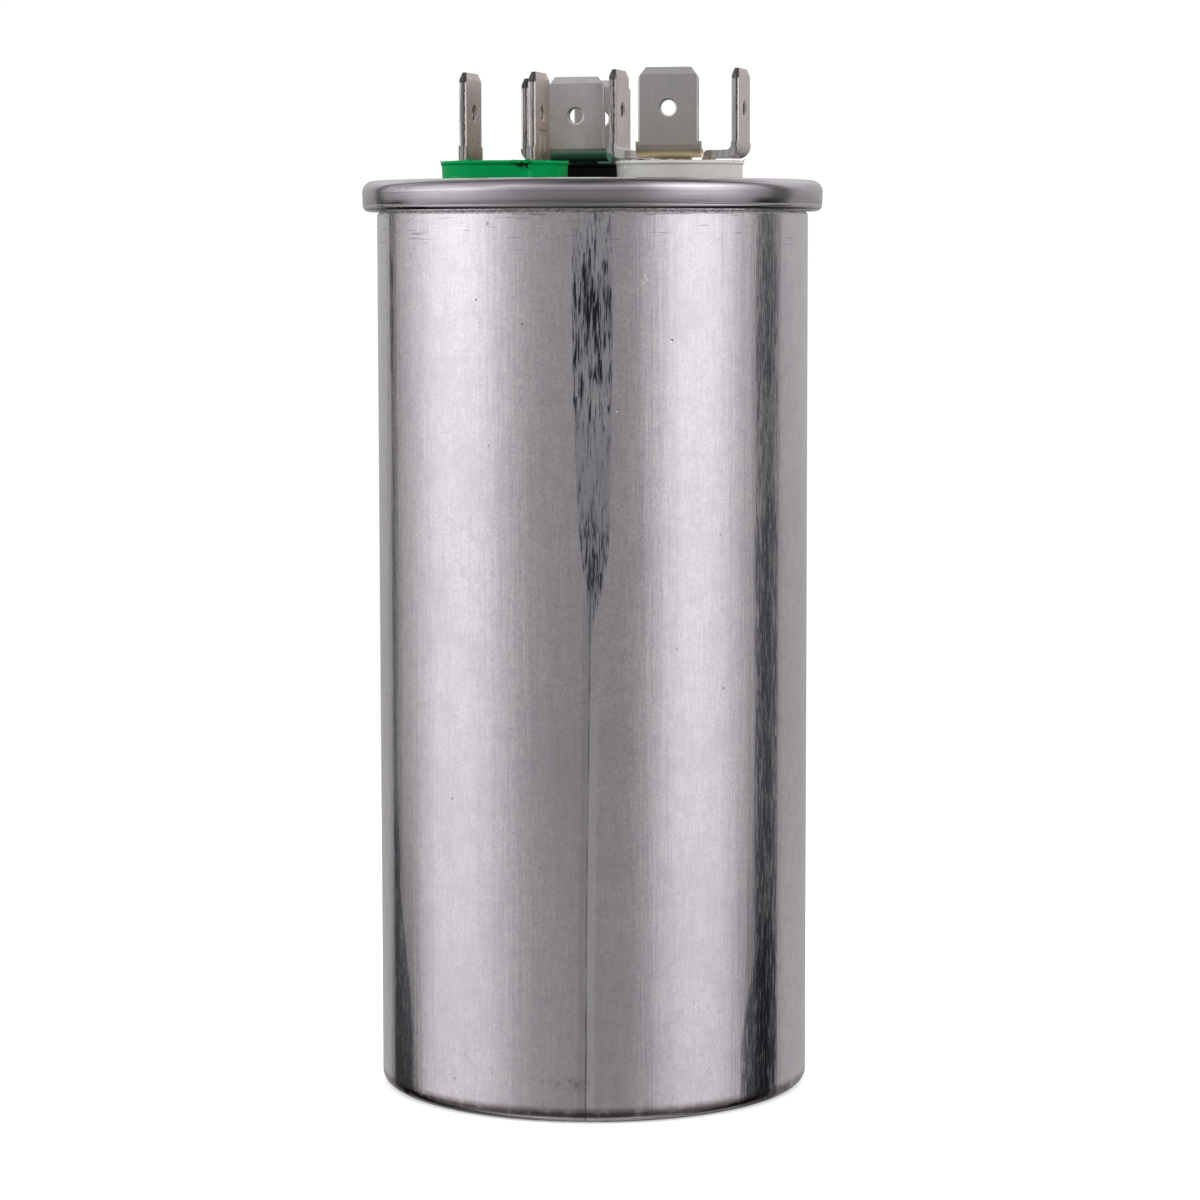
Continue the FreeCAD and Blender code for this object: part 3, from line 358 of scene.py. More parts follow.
def front_line_with_painted_light(can):
    """A fine dark line leans down the front below the painted camera reflection, with painted shade to
    its left and a painted highlight to its right.
    """
    tree, height = can.tree, can.height
    leaning = tree.minus(can.drift, tree.ramp(height, LINE_TOP, 0.0, 0.0, LINE_LEAN, smooth=False))
    line = tree.times(tree.band(leaning, LINE_BEARING, 0.06, 0.22), tree.ramp(height, 66.0, 52.0))
    line = tree.times(line, tree.ramp(can.clump, 0.35, 0.6, 0.25, 1.0))
    # Painted shade to the left of the line and a painted highlight to its right.
    shade = tree.times(tree.band(leaning, -1.7, 0.5, 0.9), tree.ramp(height, 60.0, 50.0, 0.0, 0.3))
    sheen = tree.times(tree.band(leaning, 0.5, 0.6, 0.9), tree.ramp(height, 50.0, 36.0, 0.0, 0.45))
    return [(shade, (0.40, 0.38, 0.41)), (sheen, (0.93, 0.90, 0.93)),
            (tree.times(line, 0.75), (0.12, 0.12, 0.14))]


def painted_gap_reflections(can):
    # Painted reflections of the studio's dark side gaps: blue-black dashes on the right, a thin dark line
    # on the left.
    tree, height = can.tree, can.height
    right = tree.times(tree.band(can.drift, RIGHT_GAP_REFLECTION, 4.2, 1.4), tree.ramp(can.dashes, 0.53, 0.62))
    right = tree.times(right, tree.ramp(height, 92.0, 60.0, 0.5, 0.64))
    left = tree.times(tree.band(can.drift, LEFT_GAP_REFLECTION, 0.9, 0.8), tree.ramp(can.dashes, 0.44, 0.6))
    left = tree.times(left, tree.ramp(height, 68.0, 80.0, 0.5, 1.0))
    return [(right, GAP_REFLECTION_BLUE), (tree.times(left, 0.85), (0.05, 0.05, 0.065))]


def painted_low_gap_reflections(can):
    """Towards the foot both sides carry broad dark bands that widen downwards: painted reflections of the
    studio's dark gaps near the floor.
    """
    tree, height, drift = can.tree, can.height, can.drift
    broken = tree.ramp(tree.plus(can.dashes, tree.ramp(height, 30.0, 4.0, -0.02, 0.05)), 0.47, 0.59)
    left_end = tree.ramp(height, *LEFT_BAND_END)
    left = tree.times(tree.ramp(tree.minus(drift, left_end), 0.0, -1.4),
                      tree.ramp(drift, *LEFT_BAND_START))
    left = tree.times(left, tree.ramp(height, 34.0, 26.0))
    right_start = tree.ramp(height, *RIGHT_BAND_START)
    right = tree.times(tree.ramp(tree.minus(drift, right_start), 0.0, 1.8),
                       tree.ramp(drift, *RIGHT_BAND_END))
    right = tree.times(right, tree.ramp(height, 26.0, 14.0))
    bands = tree.times(tree.plus(left, right), broken)
    return [(tree.times(bands, 0.66), LOW_GAP_REFLECTION_BLUE)]


def foot_scratches(can):
    """Hair scratches that cross each other near the foot, and one smudge."""
    tree, height = can.tree, can.height
    girth = tree.times(can.turn, DEGREE_LENGTH)

    def hairs(slope, seed):
        along = tree.plus(tree.times(girth, math.cos(slope)), tree.times(height, math.sin(slope)))
        over = tree.minus(tree.times(height, math.cos(slope)), tree.times(girth, math.sin(slope)))
        sheet = tree.join(tree.times(along, 0.35), tree.times(over, 6.0), seed)
        return tree.ramp(tree.noise(sheet, 1.0, 2.0, 0.5), 0.66, 0.72)

    hair = tree.times(tree.plus(hairs(0.75, 3.0), hairs(-0.9, 11.0)), tree.ramp(height, 12.0, 6.0))
    blotch = tree.ramp(tree.noise(can.place, 1500.0, 4.0, 0.8), 0.46, 0.56)
    smudge = tree.times(can.spot(*SMUDGE), blotch)
    return [(tree.times(hair, 0.4), SCRATCH_GREY), (tree.times(smudge, 0.5), (0.22, 0.20, 0.23))]


def foot_edge(can):
    """The foot's round is darker, with a painted highlight below it and a dark line of painted contact
    shade where it stands.
    """
    tree, height = can.tree, can.height
    darker_round = tree.times(tree.ramp(height, *DARK_ROUND_HEAD), tree.ramp(height, *DARK_ROUND_FOOT))
    darker_round = tree.times(darker_round, tree.ramp(can.patch, 0.30, 0.55, 0.45, 1.0))
    # A painted highlight on the foot's round, and painted contact shade in a dark line at the bottom.
    painted_highlight = tree.times(tree.band(height, PAINTED_HIGHLIGHT_HEIGHT, 0.06, 0.1), tree.ramp(can.broad, 0.4, 0.6))
    standing = tree.ramp(height, *CONTACT_SHADE_HEIGHT)
    return [(tree.times(darker_round, 0.8), (0.16, 0.105, 0.115)), (tree.times(painted_highlight, 0.5), (0.97, 0.90, 0.88)),
            (tree.times(standing, 0.9), (0.06, 0.045, 0.05))]


def handling_marks(can):
    """Scratches across the can near the rim, small pits and bright nicks."""
    tree, place = can.tree, can.place
    wide = tree.vector("MULTIPLY", place, (260.0, 260.0, 5200.0))
    across = tree.ramp(tree.noise(wide, 1.0, 2.0, 0.5), 0.63, 0.69)
    near_rim = tree.times(across, tree.ramp(can.height, 87.0, 90.0))
    pits = tree.use(SPECKS, {"Place": place, "Scale": 300.0, "Size": 0.05})[0]
    bright = tree.use(SPECKS, {"Place": place, "Scale": 410.0, "Size": 0.05})[0]
    for bearing, height in BRIGHT_NICKS:
        bright = tree.most(bright, can.spot(bearing, height, 0.35, 0.2))
    for bearing, height in DARK_PITS:
        pits = tree.most(pits, can.spot(bearing, height, 0.32, 0.13))
    return near_rim, pits, bright


def rounded_step(can):
    """The short step behind the rim is rounded over, so it shines like the wall below it."""
    tree = can.tree
    normal = tree.normal()
    outward = tree.outward(can.axes)
    faces_out = tree.node("ShaderNodeVectorMath", {0: normal, 1: outward},
                          operation="DOT_PRODUCT").outputs["Value"]
    amount = tree.times(tree.ramp(can.height, *STEP), tree.ramp(faces_out, 0.2, 0.4, 0.0, 6.0))
    return tree.use(CORNER, {"Normal": normal, "Towards": outward, "Amount": amount})[0]


def can_material():
    mat, tree, shader, place = new_material("can_drawn_aluminium")
    can = CanSkin(tree, place)
    reflection_veil, reflection_dashes = painted_camera_reflection(can)
    near_rim, pits, bright = handling_marks(can)
    # Close under the rim the metal is dull with sealing compound.
    neck = tree.ramp(can.height, *NECK)
    residue = tree.times(tree.use(CRUMBS, {"Place": place})[0], tree.ramp(can.height, *RESIDUE))
    metal = tree.mix(tree.ramp(can.fine, 0.32, 0.68), (0.665, 0.63, 0.668), (0.755, 0.72, 0.75))
    metal = tree.coats(metal, [
        *grain_coats(can),
        # The painted reflection of the camera: a grey veil and dark dashes.
        (reflection_veil, (0.37, 0.37, 0.43)),
        (tree.times(reflection_dashes, 0.97), (0.022, 0.028, 0.048)),
        *front_line_with_painted_light(can),
        # Painted reflections of the dark studio gaps at the sides.
        *painted_gap_reflections(can),
        (tree.times(near_rim, 0.6), (0.16, 0.15, 0.17)),
        (tree.times(pits, 0.65), SCRATCH_GREY),
        (tree.times(bright, 0.6), (0.97, 0.97, 0.96)),
        (tree.times(residue, 0.6), COMPOUND),
        # Painted reflections of the dark studio gaps near the floor.
        *painted_low_gap_reflections(can),
        *foot_scratches(can),
        *foot_edge(can),
    ])
    rough = tree.plus(tree.ramp(can.grain, 0.3, 0.7, 0.14, 0.22), tree.times(reflection_dashes, 0.12))
    relief = tree.bump(can.fine, 0.005 * MM, rounded_step(can))
    relief = tree.bump(can.broad, 0.03 * MM, relief)
    relief = tree.bump(can.grain, 0.005 * MM, relief)
    tree.feed_all(shader, {
        "Base Color": metal,
        "Metallic": tree.minus(1.0, tree.times(neck, 0.35)),
        "Roughness": tree.plus(rough, tree.times(neck, 0.25)),
        "Normal": tree.bump(pits, -0.03 * MM, relief)})
    return mat


# The lid's rolled rim. Its face is crowned: it draws in towards its lower edge, which ends in a
# fine bright lip over a crease darkened with painted shadow. FACE_IN, FACE_BACK and FACE_OUT are radii in
# mm.

RIM_MIDDLE, RIM_LIP, RIM_CREASE = 93.5, 92.31, 92.03
CREASE_BEHIND, RIM_UNDERSIDE, CROWN_FOOT = (92.1, 92.0), (91.95, 91.91), (92.38, 92.50)
FACE_IN, FACE_BACK, FACE_OUT = 23.2, 23.3, 23.4


def rim_material():
    mat, tree, shader, place = new_material("lid_rolled_aluminium")
    axes = tree.split(place)
    height = tree.times(axes[2], 1 / MM)
    reach = tree.math("SQRT", tree.plus(tree.times(axes[0], axes[0]), tree.times(axes[1], axes[1])))
    lines = tree.noise(tree.join(tree.times(reach, 4000.0), tree.times(axes[2], 4000.0),
                                 tree.times(tree.bearing(axes), 3.0)), 1.0, 3.0, 0.6)
    grain = tree.noise(place, 1800.0, 4.0, 0.6)
    cloud = tree.noise(place, 130.0, 3.0, 0.6)
    outside = tree.ramp(reach, FACE_IN * MM, FACE_OUT * MM)
    # Painted shadow in the crease under the lip and behind the face.
    crease_shadow = tree.times(tree.band(height, RIM_CREASE, 0.06, 0.05), outside)
    shadow_behind = tree.ramp(reach, FACE_OUT * MM, FACE_BACK * MM)
    shadow_behind = tree.times(tree.ramp(height, *CREASE_BEHIND), shadow_behind)
    crease_shadow = tree.most(crease_shadow, shadow_behind)
    under = tree.times(tree.ramp(height, *RIM_UNDERSIDE), outside)
    crumbs = tree.use(CRUMBS, {"Place": place, "Cover": 0.8})[0]
    metal = tree.mix(tree.ramp(lines, 0.35, 0.7), (0.465, 0.438, 0.468), (0.53, 0.50, 0.53))
    metal = tree.coats(metal, [
        (tree.ramp(cloud, 0.5, 0.75, 0.0, 0.3), (0.39, 0.375, 0.40)),
        (tree.ramp(grain, 0.6, 0.75, 0.0, 0.3), (0.34, 0.33, 0.35)),
        (under, (0.66, 0.63, 0.66)),
        (tree.times(under, crumbs), COMPOUND),
        # The painted shadow of the crease.
        (tree.times(crease_shadow, 0.9), (0.03, 0.026, 0.028)),
    ])
    lip = tree.times(tree.band(height, RIM_LIP, 0.04, 0.09), 3.0)
    lip = tree.times(tree.plus(lip, tree.times(under, 6.0)), outside)
    eased = tree.use(CORNER, {"Normal": tree.normal(), "Towards": tree.outward(axes), "Amount": lip})[0]
    below = tree.most(tree.minus(RIM_MIDDLE, height), 0.0)
    crown = tree.times(tree.times(below, below), -0.12)
    crown = tree.times(crown, tree.ramp(height, *CROWN_FOOT))
    relief = tree.bump(tree.times(crown, outside), 1.0 * MM, eased)
    relief = tree.bump(lines, 0.003 * MM, relief)
    tree.feed_all(shader, {
        "Base Color": metal, "Metallic": 1.0,
        "Roughness": tree.ramp(grain, 0.3, 0.7, 0.15, 0.23),
        "Normal": tree.bump(grain, 0.003 * MM, relief)})
    return mat


# The blades: tinned straps, bent up on one side or both sides of their rivet. Heights are in mm
# above the foot. HOLE_DROP and TIP_BEVEL are measured down from the tip.

HOLE_DROP, HOLE_RIM, TIP_BEVEL = 4.1, 0.98, 0.65
GROOVE_SIDES, GROOVE_HEIGHT, BAR_HEIGHT = (-1.2, 0.6), 98.7, 100.1
TINT_HEIGHTS, SHADED_CORNER_HEIGHTS = (97.6, 103.8), (103.0, 104.0)
FOLD_HEIGHTS, FOLD_TONE_HEIGHTS = (98.45, 97.85), (97.9, 97.4)


class Strap:
    """Where a point lies on a strap: across and along its upright sheets, as the rivet turns them."""

    def __init__(self, tree, place, terminal, twist, spread, through):
        bearing = math.radians(BEARING[terminal])
        rivet = (PITCH * MM * math.cos(bearing), PITCH * MM * math.sin(bearing), 0)
        twist = math.radians(twist)
        self.tree = tree
        self.normal = tree.normal()
        at = self.turned(tree.vector("SUBTRACT", place, rivet), twist)
        facing = self.turned(self.normal, twist)
        across, beside = (0, 1) if through == "x" else (1, 0)
        self.sheet = tree.times(at[across], 1 / MM)
        self.side = tree.times(at[beside], 1 / MM)
        self.height = tree.times(at[2], 1 / MM)
        self.depth = tree.minus(self.sheet, tree.times(tree.math("SIGN", self.sheet), spread))
        self.faces_through, self.faces_side, self.faces_up = facing[across], facing[beside], facing[2]
        if through == "x":
            self.through = (math.cos(twist), -math.sin(twist), 0)
        else:
            self.through = (math.sin(twist), math.cos(twist), 0)

    def turned(self, vector, twist):
        rotated = self.tree.node("ShaderNodeVectorRotate", {"Vector": vector, "Angle": twist},
                                 rotation_type="Z_AXIS")
        return self.tree.split(rotated.outputs[0])

    def soft_corners(self, tip):
        # The hole's bevel and the coined tip turn the light less than their faces.
        tree = self.tree
        drop = tree.minus(self.height, tip - HOLE_DROP)
        reach = tree.math("SQRT", tree.plus(tree.times(self.side, self.side), tree.times(drop, drop)))
        worn = tree.most(tree.ramp(reach, HOLE_RIM + 0.08, HOLE_RIM),
                         tree.ramp(self.height, tip - TIP_BEVEL - 0.1, tip - TIP_BEVEL))
        worn = tree.times(worn, tree.ramp(tree.math("ABSOLUTE", self.faces_through), 0.4, 0.6))
        amount = tree.times(tree.times(tree.math("SIGN", self.faces_through), worn), 1.3)
        return tree.use(CORNER, {"Normal": self.normal, "Towards": self.through, "Amount": amount})[0]


def press_marks(strap):
    """Two short grooves and a bar that the press left on the right-hand blade."""
    tree, side = strap.tree, strap.side
    right_blade = tree.math("GREATER_THAN", strap.sheet, 0.0)
    grooves = tree.plus(*[tree.band(side, at, 0.16, 0.18) for at in GROOVE_SIDES])
    grooves = tree.times(grooves, tree.band(strap.height, GROOVE_HEIGHT, 0.80, 0.15))
    bar = tree.times(tree.band(strap.height, BAR_HEIGHT, 0.05, 0.1), tree.band(side, 0.0, 1.7, 0.2))
    return [(tree.times(grooves, right_blade), (0.95, 0.92, 0.88)),
            (tree.times(tree.times(bar, right_blade), 0.8), (0.15, 0.13, 0.12))]


def blade_material(name, terminal, twist, spread, through, high, low,
                   left_edge=0.33, bend_reflection=None, matt=0.0):
    mat, tree, shader, place = new_material(name)
    strap = Strap(tree, place, terminal, twist, spread, through)
    height = strap.height
    worn = tree.use(TARNISH, {"Place": place})
    scratch, stain, grain = worn["Scratch"], worn["Stain"], worn["Grain"]
    cut = tree.use(SHEARED, {
        "Facing": strap.faces_side, "Height": height, "Depth": strap.depth,
        "Left": tree.math("LESS_THAN", strap.sheet, 0.0),
        "Left Colour": (left_edge, left_edge, left_edge * 1.02), "Right Colour": (0.55, 0.55, 0.565),
        "Scratch": scratch, "Grain": grain})
    # Painted shade: the upward-facing cut corners near the tip are darkened.
    corner = tree.times(tree.ramp(strap.faces_up, 0.45, 0.55), tree.ramp(height, *SHADED_CORNER_HEIGHTS))
    metal = tree.mix(tree.ramp(height, *TINT_HEIGHTS, smooth=False), low, high)
    metal = tree.coats(metal, [
        (tree.ramp(scratch, 0.35, 0.65, 0.0, 0.16), (0.42, 0.40, 0.385)),
        (tree.ramp(stain, 0.5, 0.7, 0.0, 0.25), (0.45, 0.415, 0.385)),
        (tree.ramp(grain, 0.60, 0.74, 0.0, 0.35), (0.36, 0.34, 0.32)),
        *(press_marks(strap) if terminal == "fan" else []),
        (cut["Mask"], cut["Colour"]),
        (tree.times(corner, 0.42 if terminal == "herm" else 0.65), (0.12, 0.10, 0.10)),
    ])
    metallic, rough = 1.0, tree.ramp(stain, 0.3, 0.7, 0.20, 0.32)
    # On a bend the colour is a painted reflection of the cup below it, and the bend is made matt so that
    # it shows.
    if bend_reflection:
        folded = tree.ramp(height, *FOLD_HEIGHTS)
        metal = tree.mix(folded, metal, tree.mix(tree.ramp(height, *FOLD_TONE_HEIGHTS), *bend_reflection))
        rough = tree.plus(rough, tree.times(folded, 0.7 * matt))
        metallic = tree.minus(1.0, tree.times(folded, matt))
    relief = tree.bump(scratch, 0.003 * MM, strap.soft_corners(TIP[terminal]))
    tree.feed_all(shader, {
        "Base Color": metal, "Metallic": metallic, "Roughness": rough,
        "Normal": tree.bump(grain, 0.004 * MM, relief)})
    return mat


# Plain metals and moulded plastics.

def plain_metal(name, colour, rough):
    mat, tree, shader, place = new_material(name)
    worn = tree.use(TARNISH, {"Place": place, "Grain Scale": 2500.0})
    shade = tuple(0.72 * part for part in colour)
    metal = tree.coats(colour, [
        (tree.ramp(worn["Stain"], 0.45, 0.7, 0.0, 0.5), shade),
        (tree.ramp(worn["Grain"], 0.60, 0.74, 0.0, 0.4), (0.34, 0.32, 0.30))])
    tree.feed_all(shader, {
        "Base Color": metal, "Metallic": 1.0,
        "Roughness": tree.ramp(worn["Stain"], 0.3, 0.7, rough - 0.05, rough + 0.08),
        "Normal": tree.bump(worn["Grain"], 0.006 * MM)})
    return mat


NICK_PLACE, NICK_SCALE = (-7.1, -11.52, 96.45), (1250.0, 900.0, 2900.0)


def lip_nick(tree, place):
    """A ragged nick in the green cup's lip, left of its right-hand blade, in nearly black painted shade,
    and paler spots.
    """
    nick = tree.vector("SUBTRACT", place, tuple(part * MM for part in NICK_PLACE))
    away = tree.length(tree.vector("MULTIPLY", nick, NICK_SCALE))
    ragged = tree.times(tree.minus(tree.noise(place, 3600.0, 3.0, 0.7), 0.5), 7.0)
    # Painted shade: the nick is drawn nearly black.
    nick_shade = tree.ramp(tree.plus(away, ragged), 0.80, 0.60)
    pale_spots = tree.ramp(tree.noise(place, 330.0, 3.0, 0.6), 0.60, 0.70, 0.0, 0.5)
    return [(nick_shade, (0.002, 0.012, 0.006)), (pale_spots, (0.03, 0.36, 0.14))]


def plastic_material(name, colour, shade, rough, scatter=0.0, sheen=0.5, dusty=0.35):
    mat, tree, shader, place = new_material(name)
    cloud = tree.noise(place, 260.0, 3.0, 0.6)
    grain = tree.noise(place, 4200.0, 3.0, 0.6)
    dust = tree.use(SPECKS, {"Place": place, "Scale": 900.0, "Size": 0.2})[0]
    pale = tuple(min(1.0, part * 1.5 + 0.04) for part in colour)
    body = tree.mix(tree.ramp(cloud, 0.35, 0.7), colour, shade)
    body = tree.mix(tree.times(dust, dusty), body, pale)
    if name == "base_green":
        body = tree.coats(body, lip_nick(tree, place))
    tree.feed_all(shader, {
        "Base Color": body,
        "Roughness": tree.ramp(grain, 0.3, 0.7, rough - 0.06, rough + 0.08),
        "IOR": 1.49, "Specular IOR Level": sheen,
        "Normal": tree.bump(grain, 0.012 * MM)})
    if scatter:
        tree.feed_all(shader, {
            "Subsurface Weight": scatter, "Subsurface Radius": (1.0, 1.0, 1.0),
            "Subsurface Scale": 1.2 * MM})
    return mat


CAN = can_material()
RIM = rim_material()
GREEN = plastic_material("base_green", (0.0, 0.24, 0.064), (0.0, 0.20, 0.044), 0.36,
                         sheen=0.05, dusty=0.06)
WHITE = plastic_material("base_white", (0.50, 0.485, 0.47), (0.45, 0.435, 0.42), 0.36,
                         scatter=0.3, sheen=0.4)
BLACK = plastic_material("base_black", (0.002, 0.002, 0.002), (0.003, 0.003, 0.003), 0.42,
                         sheen=0.12, dusty=0.02)
IVORY = plastic_material("inner_plastic", (0.62, 0.58, 0.48), (0.55, 0.51, 0.42), 0.5)
RUBBER = plastic_material("seal_rubber", (0.02, 0.02, 0.02), (0.03, 0.03, 0.03), 0.7)
LEAD = plastic_material("lead_insulation", (0.45, 0.03, 0.02), (0.35, 0.02, 0.02), 0.45)
FILM = plastic_material("metallised_film", (0.42, 0.44, 0.47), (0.36, 0.38, 0.41), 0.3)
ZINC = plain_metal("sprayed_zinc", (0.55, 0.55, 0.56), 0.5)
TIN = plain_metal("tinned_metal", (0.66, 0.62, 0.59), 0.27)

# Each blade's colours near its tip and near its bend; each is darker and browner towards the bend.
WARM, BROWN = (0.80, 0.695, 0.63), (0.665, 0.53, 0.41)
ROSY, DULL = (0.70, 0.61, 0.555), (0.635, 0.55, 0.515)
GREY, OLIVE = (0.595, 0.575, 0.565), (0.535, 0.495, 0.425)
SILVER, SMOKE = (0.63, 0.61, 0.615), (0.60, 0.565, 0.535)
# Painted reflections of the cups in the two bent blades, a brassy one and a greenish one, each from above
# to below.
BRASSY_BEND_REFLECTION = ((0.25, 0.215, 0.155), (0.78, 0.64, 0.41))
GREENISH_BEND_REFLECTION = ((0.045, 0.205, 0.115), (0.09, 0.21, 0.145))

FINISH = {
    "can": CAN, "lid": RIM, "base_fan": GREEN, "base_herm": WHITE, "base_common": BLACK,
    "blades_fan": blade_material("blades_fan_tin", "fan", 13.0, 3.64, "x", WARM, BROWN),
    "blades_herm": blade_material("blades_herm_tin", "herm", 13.0, 6.4, "x", ROSY, DULL, 0.30),
    "blade_herm_front": blade_material("blade_front_tin", "herm", 13.0, 5.6, "y", GREY, OLIVE,
                                       bend_reflection=BRASSY_BEND_REFLECTION, matt=0.7),
    "blades_common": blade_material("blades_common_tin", "common", 12.0, 6.4, "x", WARM, BROWN),
    "blades_common_cross": blade_material("blades_cross_tin", "common", 17.0, 4.7, "y", SILVER, SMOKE,
                                          bend_reflection=GREENISH_BEND_REFLECTION, matt=0.6),
    "rivet_fan": TIN, "rivet_herm": TIN, "rivet_common": TIN,
    "winding_fan": FILM, "winding_herm": FILM, "divider_film": FILM,
}
INNER = {"gasket": RUBBER, "seam": RUBBER, "lead": LEAD, "contact": ZINC, "lug": TIN}
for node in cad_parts:
    for prefix, mat in INNER.items():
        if node.startswith(prefix):
            FINISH[node] = mat
for node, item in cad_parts.items():
    for slot in item.material_slots:
        slot.material = FINISH.get(node, IVORY)


# Moulding flash: a thin torn fringe left standing on the lip of each cup.

LIP_HEIGHT, LIP_OUT, LIP_CREST, LIP_IN = 96.9, 6.60, 6.585, 6.46
ROOT_DEPTH = 0.05


def make_flash(name, terminal, horns):
    """Each horn is a taller tear: its bearing, its height and its width in degrees."""
    bearing = math.radians(BEARING[terminal])
    centre = Vector((PITCH * math.cos(bearing), PITCH * math.sin(bearing), 0))
    steps = 360
    points = []
    for step in range(steps):
        turn = 2 * math.pi * step / steps
        way = Vector((math.sin(turn), -math.cos(turn), 0))
        wave = noise.noise(way * 9.0 + centre) + 0.5 * noise.noise(way * 24.0 + centre)
        rise = 0.02 + 0.14 * max(0.0, wave)
        lean = 0.0
        for at, tall, wide in horns:
            near = math.exp(-((math.degrees(turn) - at + 180) % 360 - 180) ** 2 / wide ** 2)
            rise += tall * near
            lean += 0.7 * tall * near
        section = ((LIP_OUT, -ROOT_DEPTH), (LIP_CREST + lean, rise), (LIP_IN, -ROOT_DEPTH))
        for reach, level in section:
            points.append((centre + way * reach + Vector((0, 0, LIP_HEIGHT + level))) * MM)
    faces = []
    for step in range(steps):
        here, there = 3 * step, 3 * ((step + 1) % steps)
        for corner in range(3):
            following = (corner + 1) % 3
            faces.append((here + corner, there + corner, there + following, here + following))
    mesh = bpy.data.meshes.new(name)
    mesh.from_pydata(points, [], faces)
    mesh.materials.append(FINISH["base_" + terminal])
    item = bpy.data.objects.new(name, mesh)
    bpy.context.scene.collection.objects.link(item)
    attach(item, "root")


make_flash("flash_fan", "fan", ((-88, 0.16, 3), (82, 0.2, 3), (-30, 0.12, 2), (22, 0.14, 2)))
make_flash("flash_herm", "herm", ((84, 0.24, 5), (-84, 0.12, 4), (-20, 0.1, 2)))
make_flash("flash_common", "common", ((-60, 0.1, 3),))


# Floor, light and camera.

FLOOR_HALF, FLOOR_DROP = 3.0, 0.00002
GLOW_START, GLOW_FULL = 0.10, 0.30


def make_floor():
    half = FLOOR_HALF
    mesh = bpy.data.meshes.new("floor")
    mesh.from_pydata([(-half, -half, 0), (half, -half, 0), (half, half, 0), (-half, half, 0)],
                     [], [(0, 1, 2, 3)])
    floor = bpy.data.objects.new("floor", mesh)
    bpy.context.scene.collection.objects.link(floor)
    floor.location.z = -FLOOR_DROP
    mat, tree, shader, place = new_material("floor_white")
    away = tree.length(place)
    far = tree.ramp(away, GLOW_START, GLOW_FULL)
    tree.feed_all(shader, {
        "Base Color": tree.mix(far, (0.5, 0.5, 0.5), (0.0, 0.0, 0.0)),
        "Roughness": 0.9, "Specular IOR Level": 0.1, "Emission Color": (1, 1, 1),
        "Emission Strength": tree.ramp(away, GLOW_START, GLOW_FULL, 0.45, 1.0)})
    mesh.materials.append(mat)
    floor.visible_glossy = False


# The studio is a pale backdrop, dimmer in front where the camera stands, with a soft box and an
# unlit gap at each side. Each is its bearing, half width and softness in degrees, and its
# brightness. Near the floor the soft boxes are weaker and the gaps wider.
BACKDROP, BACKDROP_LOW = 0.52, 0.48
STUDIO = ((0, 10, 45, 0.34), (-78, 5, 40, 1.2), (57, 5, 32, 1.2),
          (-133, 2, 5, 0.1), (107, 5, 8, 0.15))
STUDIO_LOW = ((0, 10, 45, 0.33), (-78, 5, 40, 0.8), (57, 5, 32, 0.75),
              (-125, 8, 16, 0.02), (102, 9, 8, 0.02))
# How bright each height of the studio is, by degrees above the horizon. The front and right
# lamps hang high and the left one low, and the ceiling is unlit.
BELOW = [(-90, 0.75), (-70, 0.70), (-48, 0.32), (-28, 0.42), (-15, 1.0), (0, 1.0)]
HIGH_LAMPS = BELOW + [(5, 1.1), (12, 1.25), (24, 1.8), (34, 2.0), (48, 1.15), (61, 0.5), (75, 0.24),
                      (90, 0.2)]
LOW_LAMP = BELOW + [(4, 1.45), (10, 1.4), (24, 1.0), (36, 0.75), (48, 0.48), (61, 0.34), (90, 0.22)]
LOW_LAMP_BEARING, LOW_LAMP_HALF, LOW_LAMP_SOFT = -88.0, 25.0, 22.0
LOWER_START, LOWER_FULL = -6.7, -12.9


def gradient(tree, share, rows):
    ramp = tree.node("ShaderNodeValToRGB", {0: share})
    bar = ramp.color_ramp
    while len(bar.elements) < len(rows):
        bar.elements.new(0.5)
    for element, (position, colour) in zip(bar.elements, rows):
        element.position = position
        element.color = (*colour, 1)
    return ramp.outputs[0]


def around_studio(tree, bearing, backdrop, fittings):
    return tree.coats((backdrop, backdrop * 0.985, backdrop), [
        (tree.band(bearing, at, half, soft), (value, value * 0.985, value))
        for at, half, soft, value in fittings])


def up_studio(tree, rise, heights):
    share = tree.plus(tree.math("DIVIDE", rise, 180.0), 0.5)
    return gradient(tree, share, [(angle / 180.0 + 0.5, (value,) * 3) for angle, value in heights])


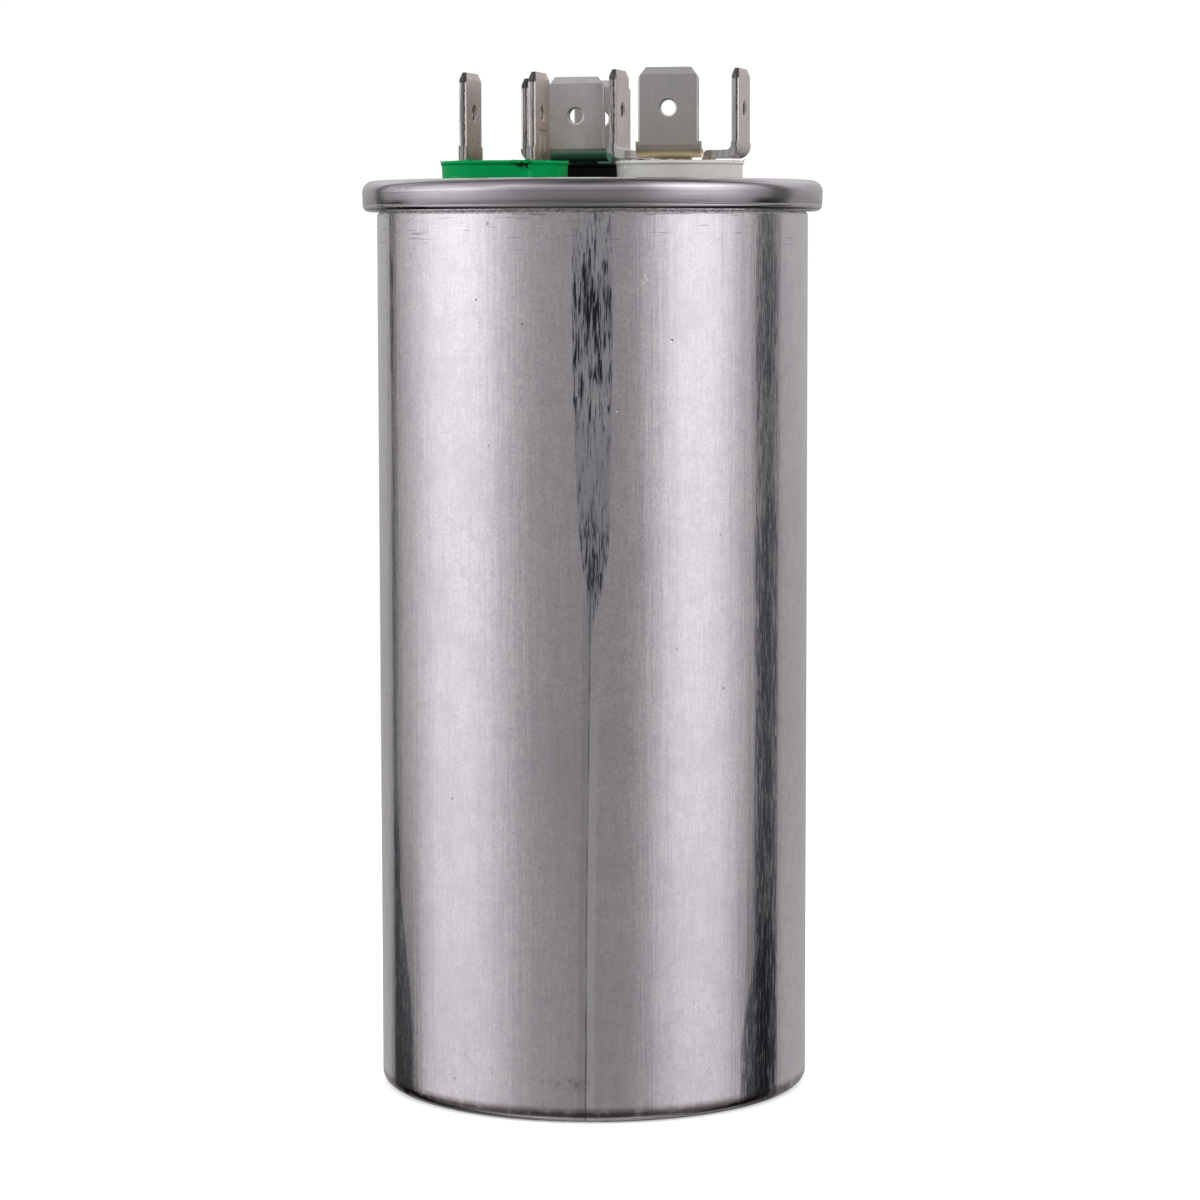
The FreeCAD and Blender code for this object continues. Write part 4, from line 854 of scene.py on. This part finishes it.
def make_world():
    world = bpy.data.worlds.new("studio")
    bpy.context.scene.world = world
    world.use_nodes = True
    world.node_tree.nodes.clear()
    tree = Tree(world.node_tree)
    axes = tree.split(tree.node("ShaderNodeTexCoord").outputs["Generated"])
    bearing = tree.times(tree.bearing(axes), DEGREES)
    rise = tree.times(tree.math("ARCSINE", axes[2]), DEGREES)
    lower = tree.ramp(rise, LOWER_START, LOWER_FULL, smooth=False)
    dimmed = tree.ramp(rise, -0.5, -5.0, 1.0, 0.84, smooth=False)
    upper = tree.scale(around_studio(tree, bearing, BACKDROP, STUDIO), dimmed)
    low = around_studio(tree, bearing, BACKDROP_LOW, STUDIO_LOW)
    level = tree.mix(tree.times(lower, lower), upper, low)
    at_left = tree.band(bearing, LOW_LAMP_BEARING, LOW_LAMP_HALF, LOW_LAMP_SOFT)
    heights = tree.mix(at_left, up_studio(tree, rise, HIGH_LAMPS), up_studio(tree, rise, LOW_LAMP))
    sky = tree.mix(1.0, level, heights, "MULTIPLY")
    studio = tree.node("ShaderNodeBackground", {0: sky, 1: 1.0})
    white = tree.node("ShaderNodeBackground", {0: (1, 1, 1), 1: 1.02})
    plain = tree.minus(1.0, tree.node("ShaderNodeLightPath").outputs["Is Glossy Ray"])
    both = tree.node("ShaderNodeMixShader", {0: plain, 1: studio.outputs[0], 2: white.outputs[0]})
    tree.node("ShaderNodeOutputWorld", {0: both.outputs[0]})


LAMP_AIM = Vector((0, 0, 0.06))


def soft_box(name, bearing, height, distance, size, energy):
    lamp = bpy.data.lights.new(name, "AREA")
    lamp.shape = "SQUARE"
    lamp.size = size
    lamp.energy = energy
    item = bpy.data.objects.new(name, lamp)
    angle = math.radians(bearing)
    item.location = (distance * math.sin(angle), -distance * math.cos(angle), height)
    item.rotation_euler = (LAMP_AIM - item.location).to_track_quat("-Z", "Y").to_euler()
    item.visible_glossy = False
    bpy.context.scene.collection.objects.link(item)


# The camera as fitted to the photograph: its place in m, its turns in radians, and its focal
# length in pixels of the 1200 pixel frame.
CAMERA_PLACE = (0.0002018, -0.391914, 0.0884772)
YAW, PITCH_DOWN, ROLL = 0.0013, 0.0953, -0.0019
FOCAL_PIXELS, FRAME_PIXELS, SENSOR_WIDTH = 3727.67, 1200.0, 36.0


def make_camera():
    data = bpy.data.cameras.new("camera")
    item = bpy.data.objects.new("camera", data)
    bpy.context.scene.collection.objects.link(item)
    level = math.cos(PITCH_DOWN)
    ahead = Vector((math.sin(YAW) * level, math.cos(YAW) * level, -math.sin(PITCH_DOWN)))
    right = Vector((math.cos(YAW), -math.sin(YAW), 0))
    up = right.cross(ahead)
    side = right * math.cos(ROLL) + up * math.sin(ROLL)
    top = up * math.cos(ROLL) - right * math.sin(ROLL)
    turn = Matrix((side, top, -ahead)).transposed().to_4x4()
    item.matrix_world = Matrix.Translation(CAMERA_PLACE) @ turn
    data.sensor_width = SENSOR_WIDTH
    data.lens = SENSOR_WIDTH * FOCAL_PIXELS / FRAME_PIXELS
    data.clip_start = 0.01
    data.clip_end = 20.0
    bpy.context.scene.camera = item


make_floor()
make_world()
soft_box("soft_left", -78, 0.45, 0.8, 0.5, 5.0)
soft_box("soft_right", 64, 0.45, 0.8, 0.5, 5.0)
soft_box("soft_top", 0, 1.1, 0.05, 0.9, 7.0)
make_camera()
bpy.context.scene.view_settings.view_transform = "Standard"
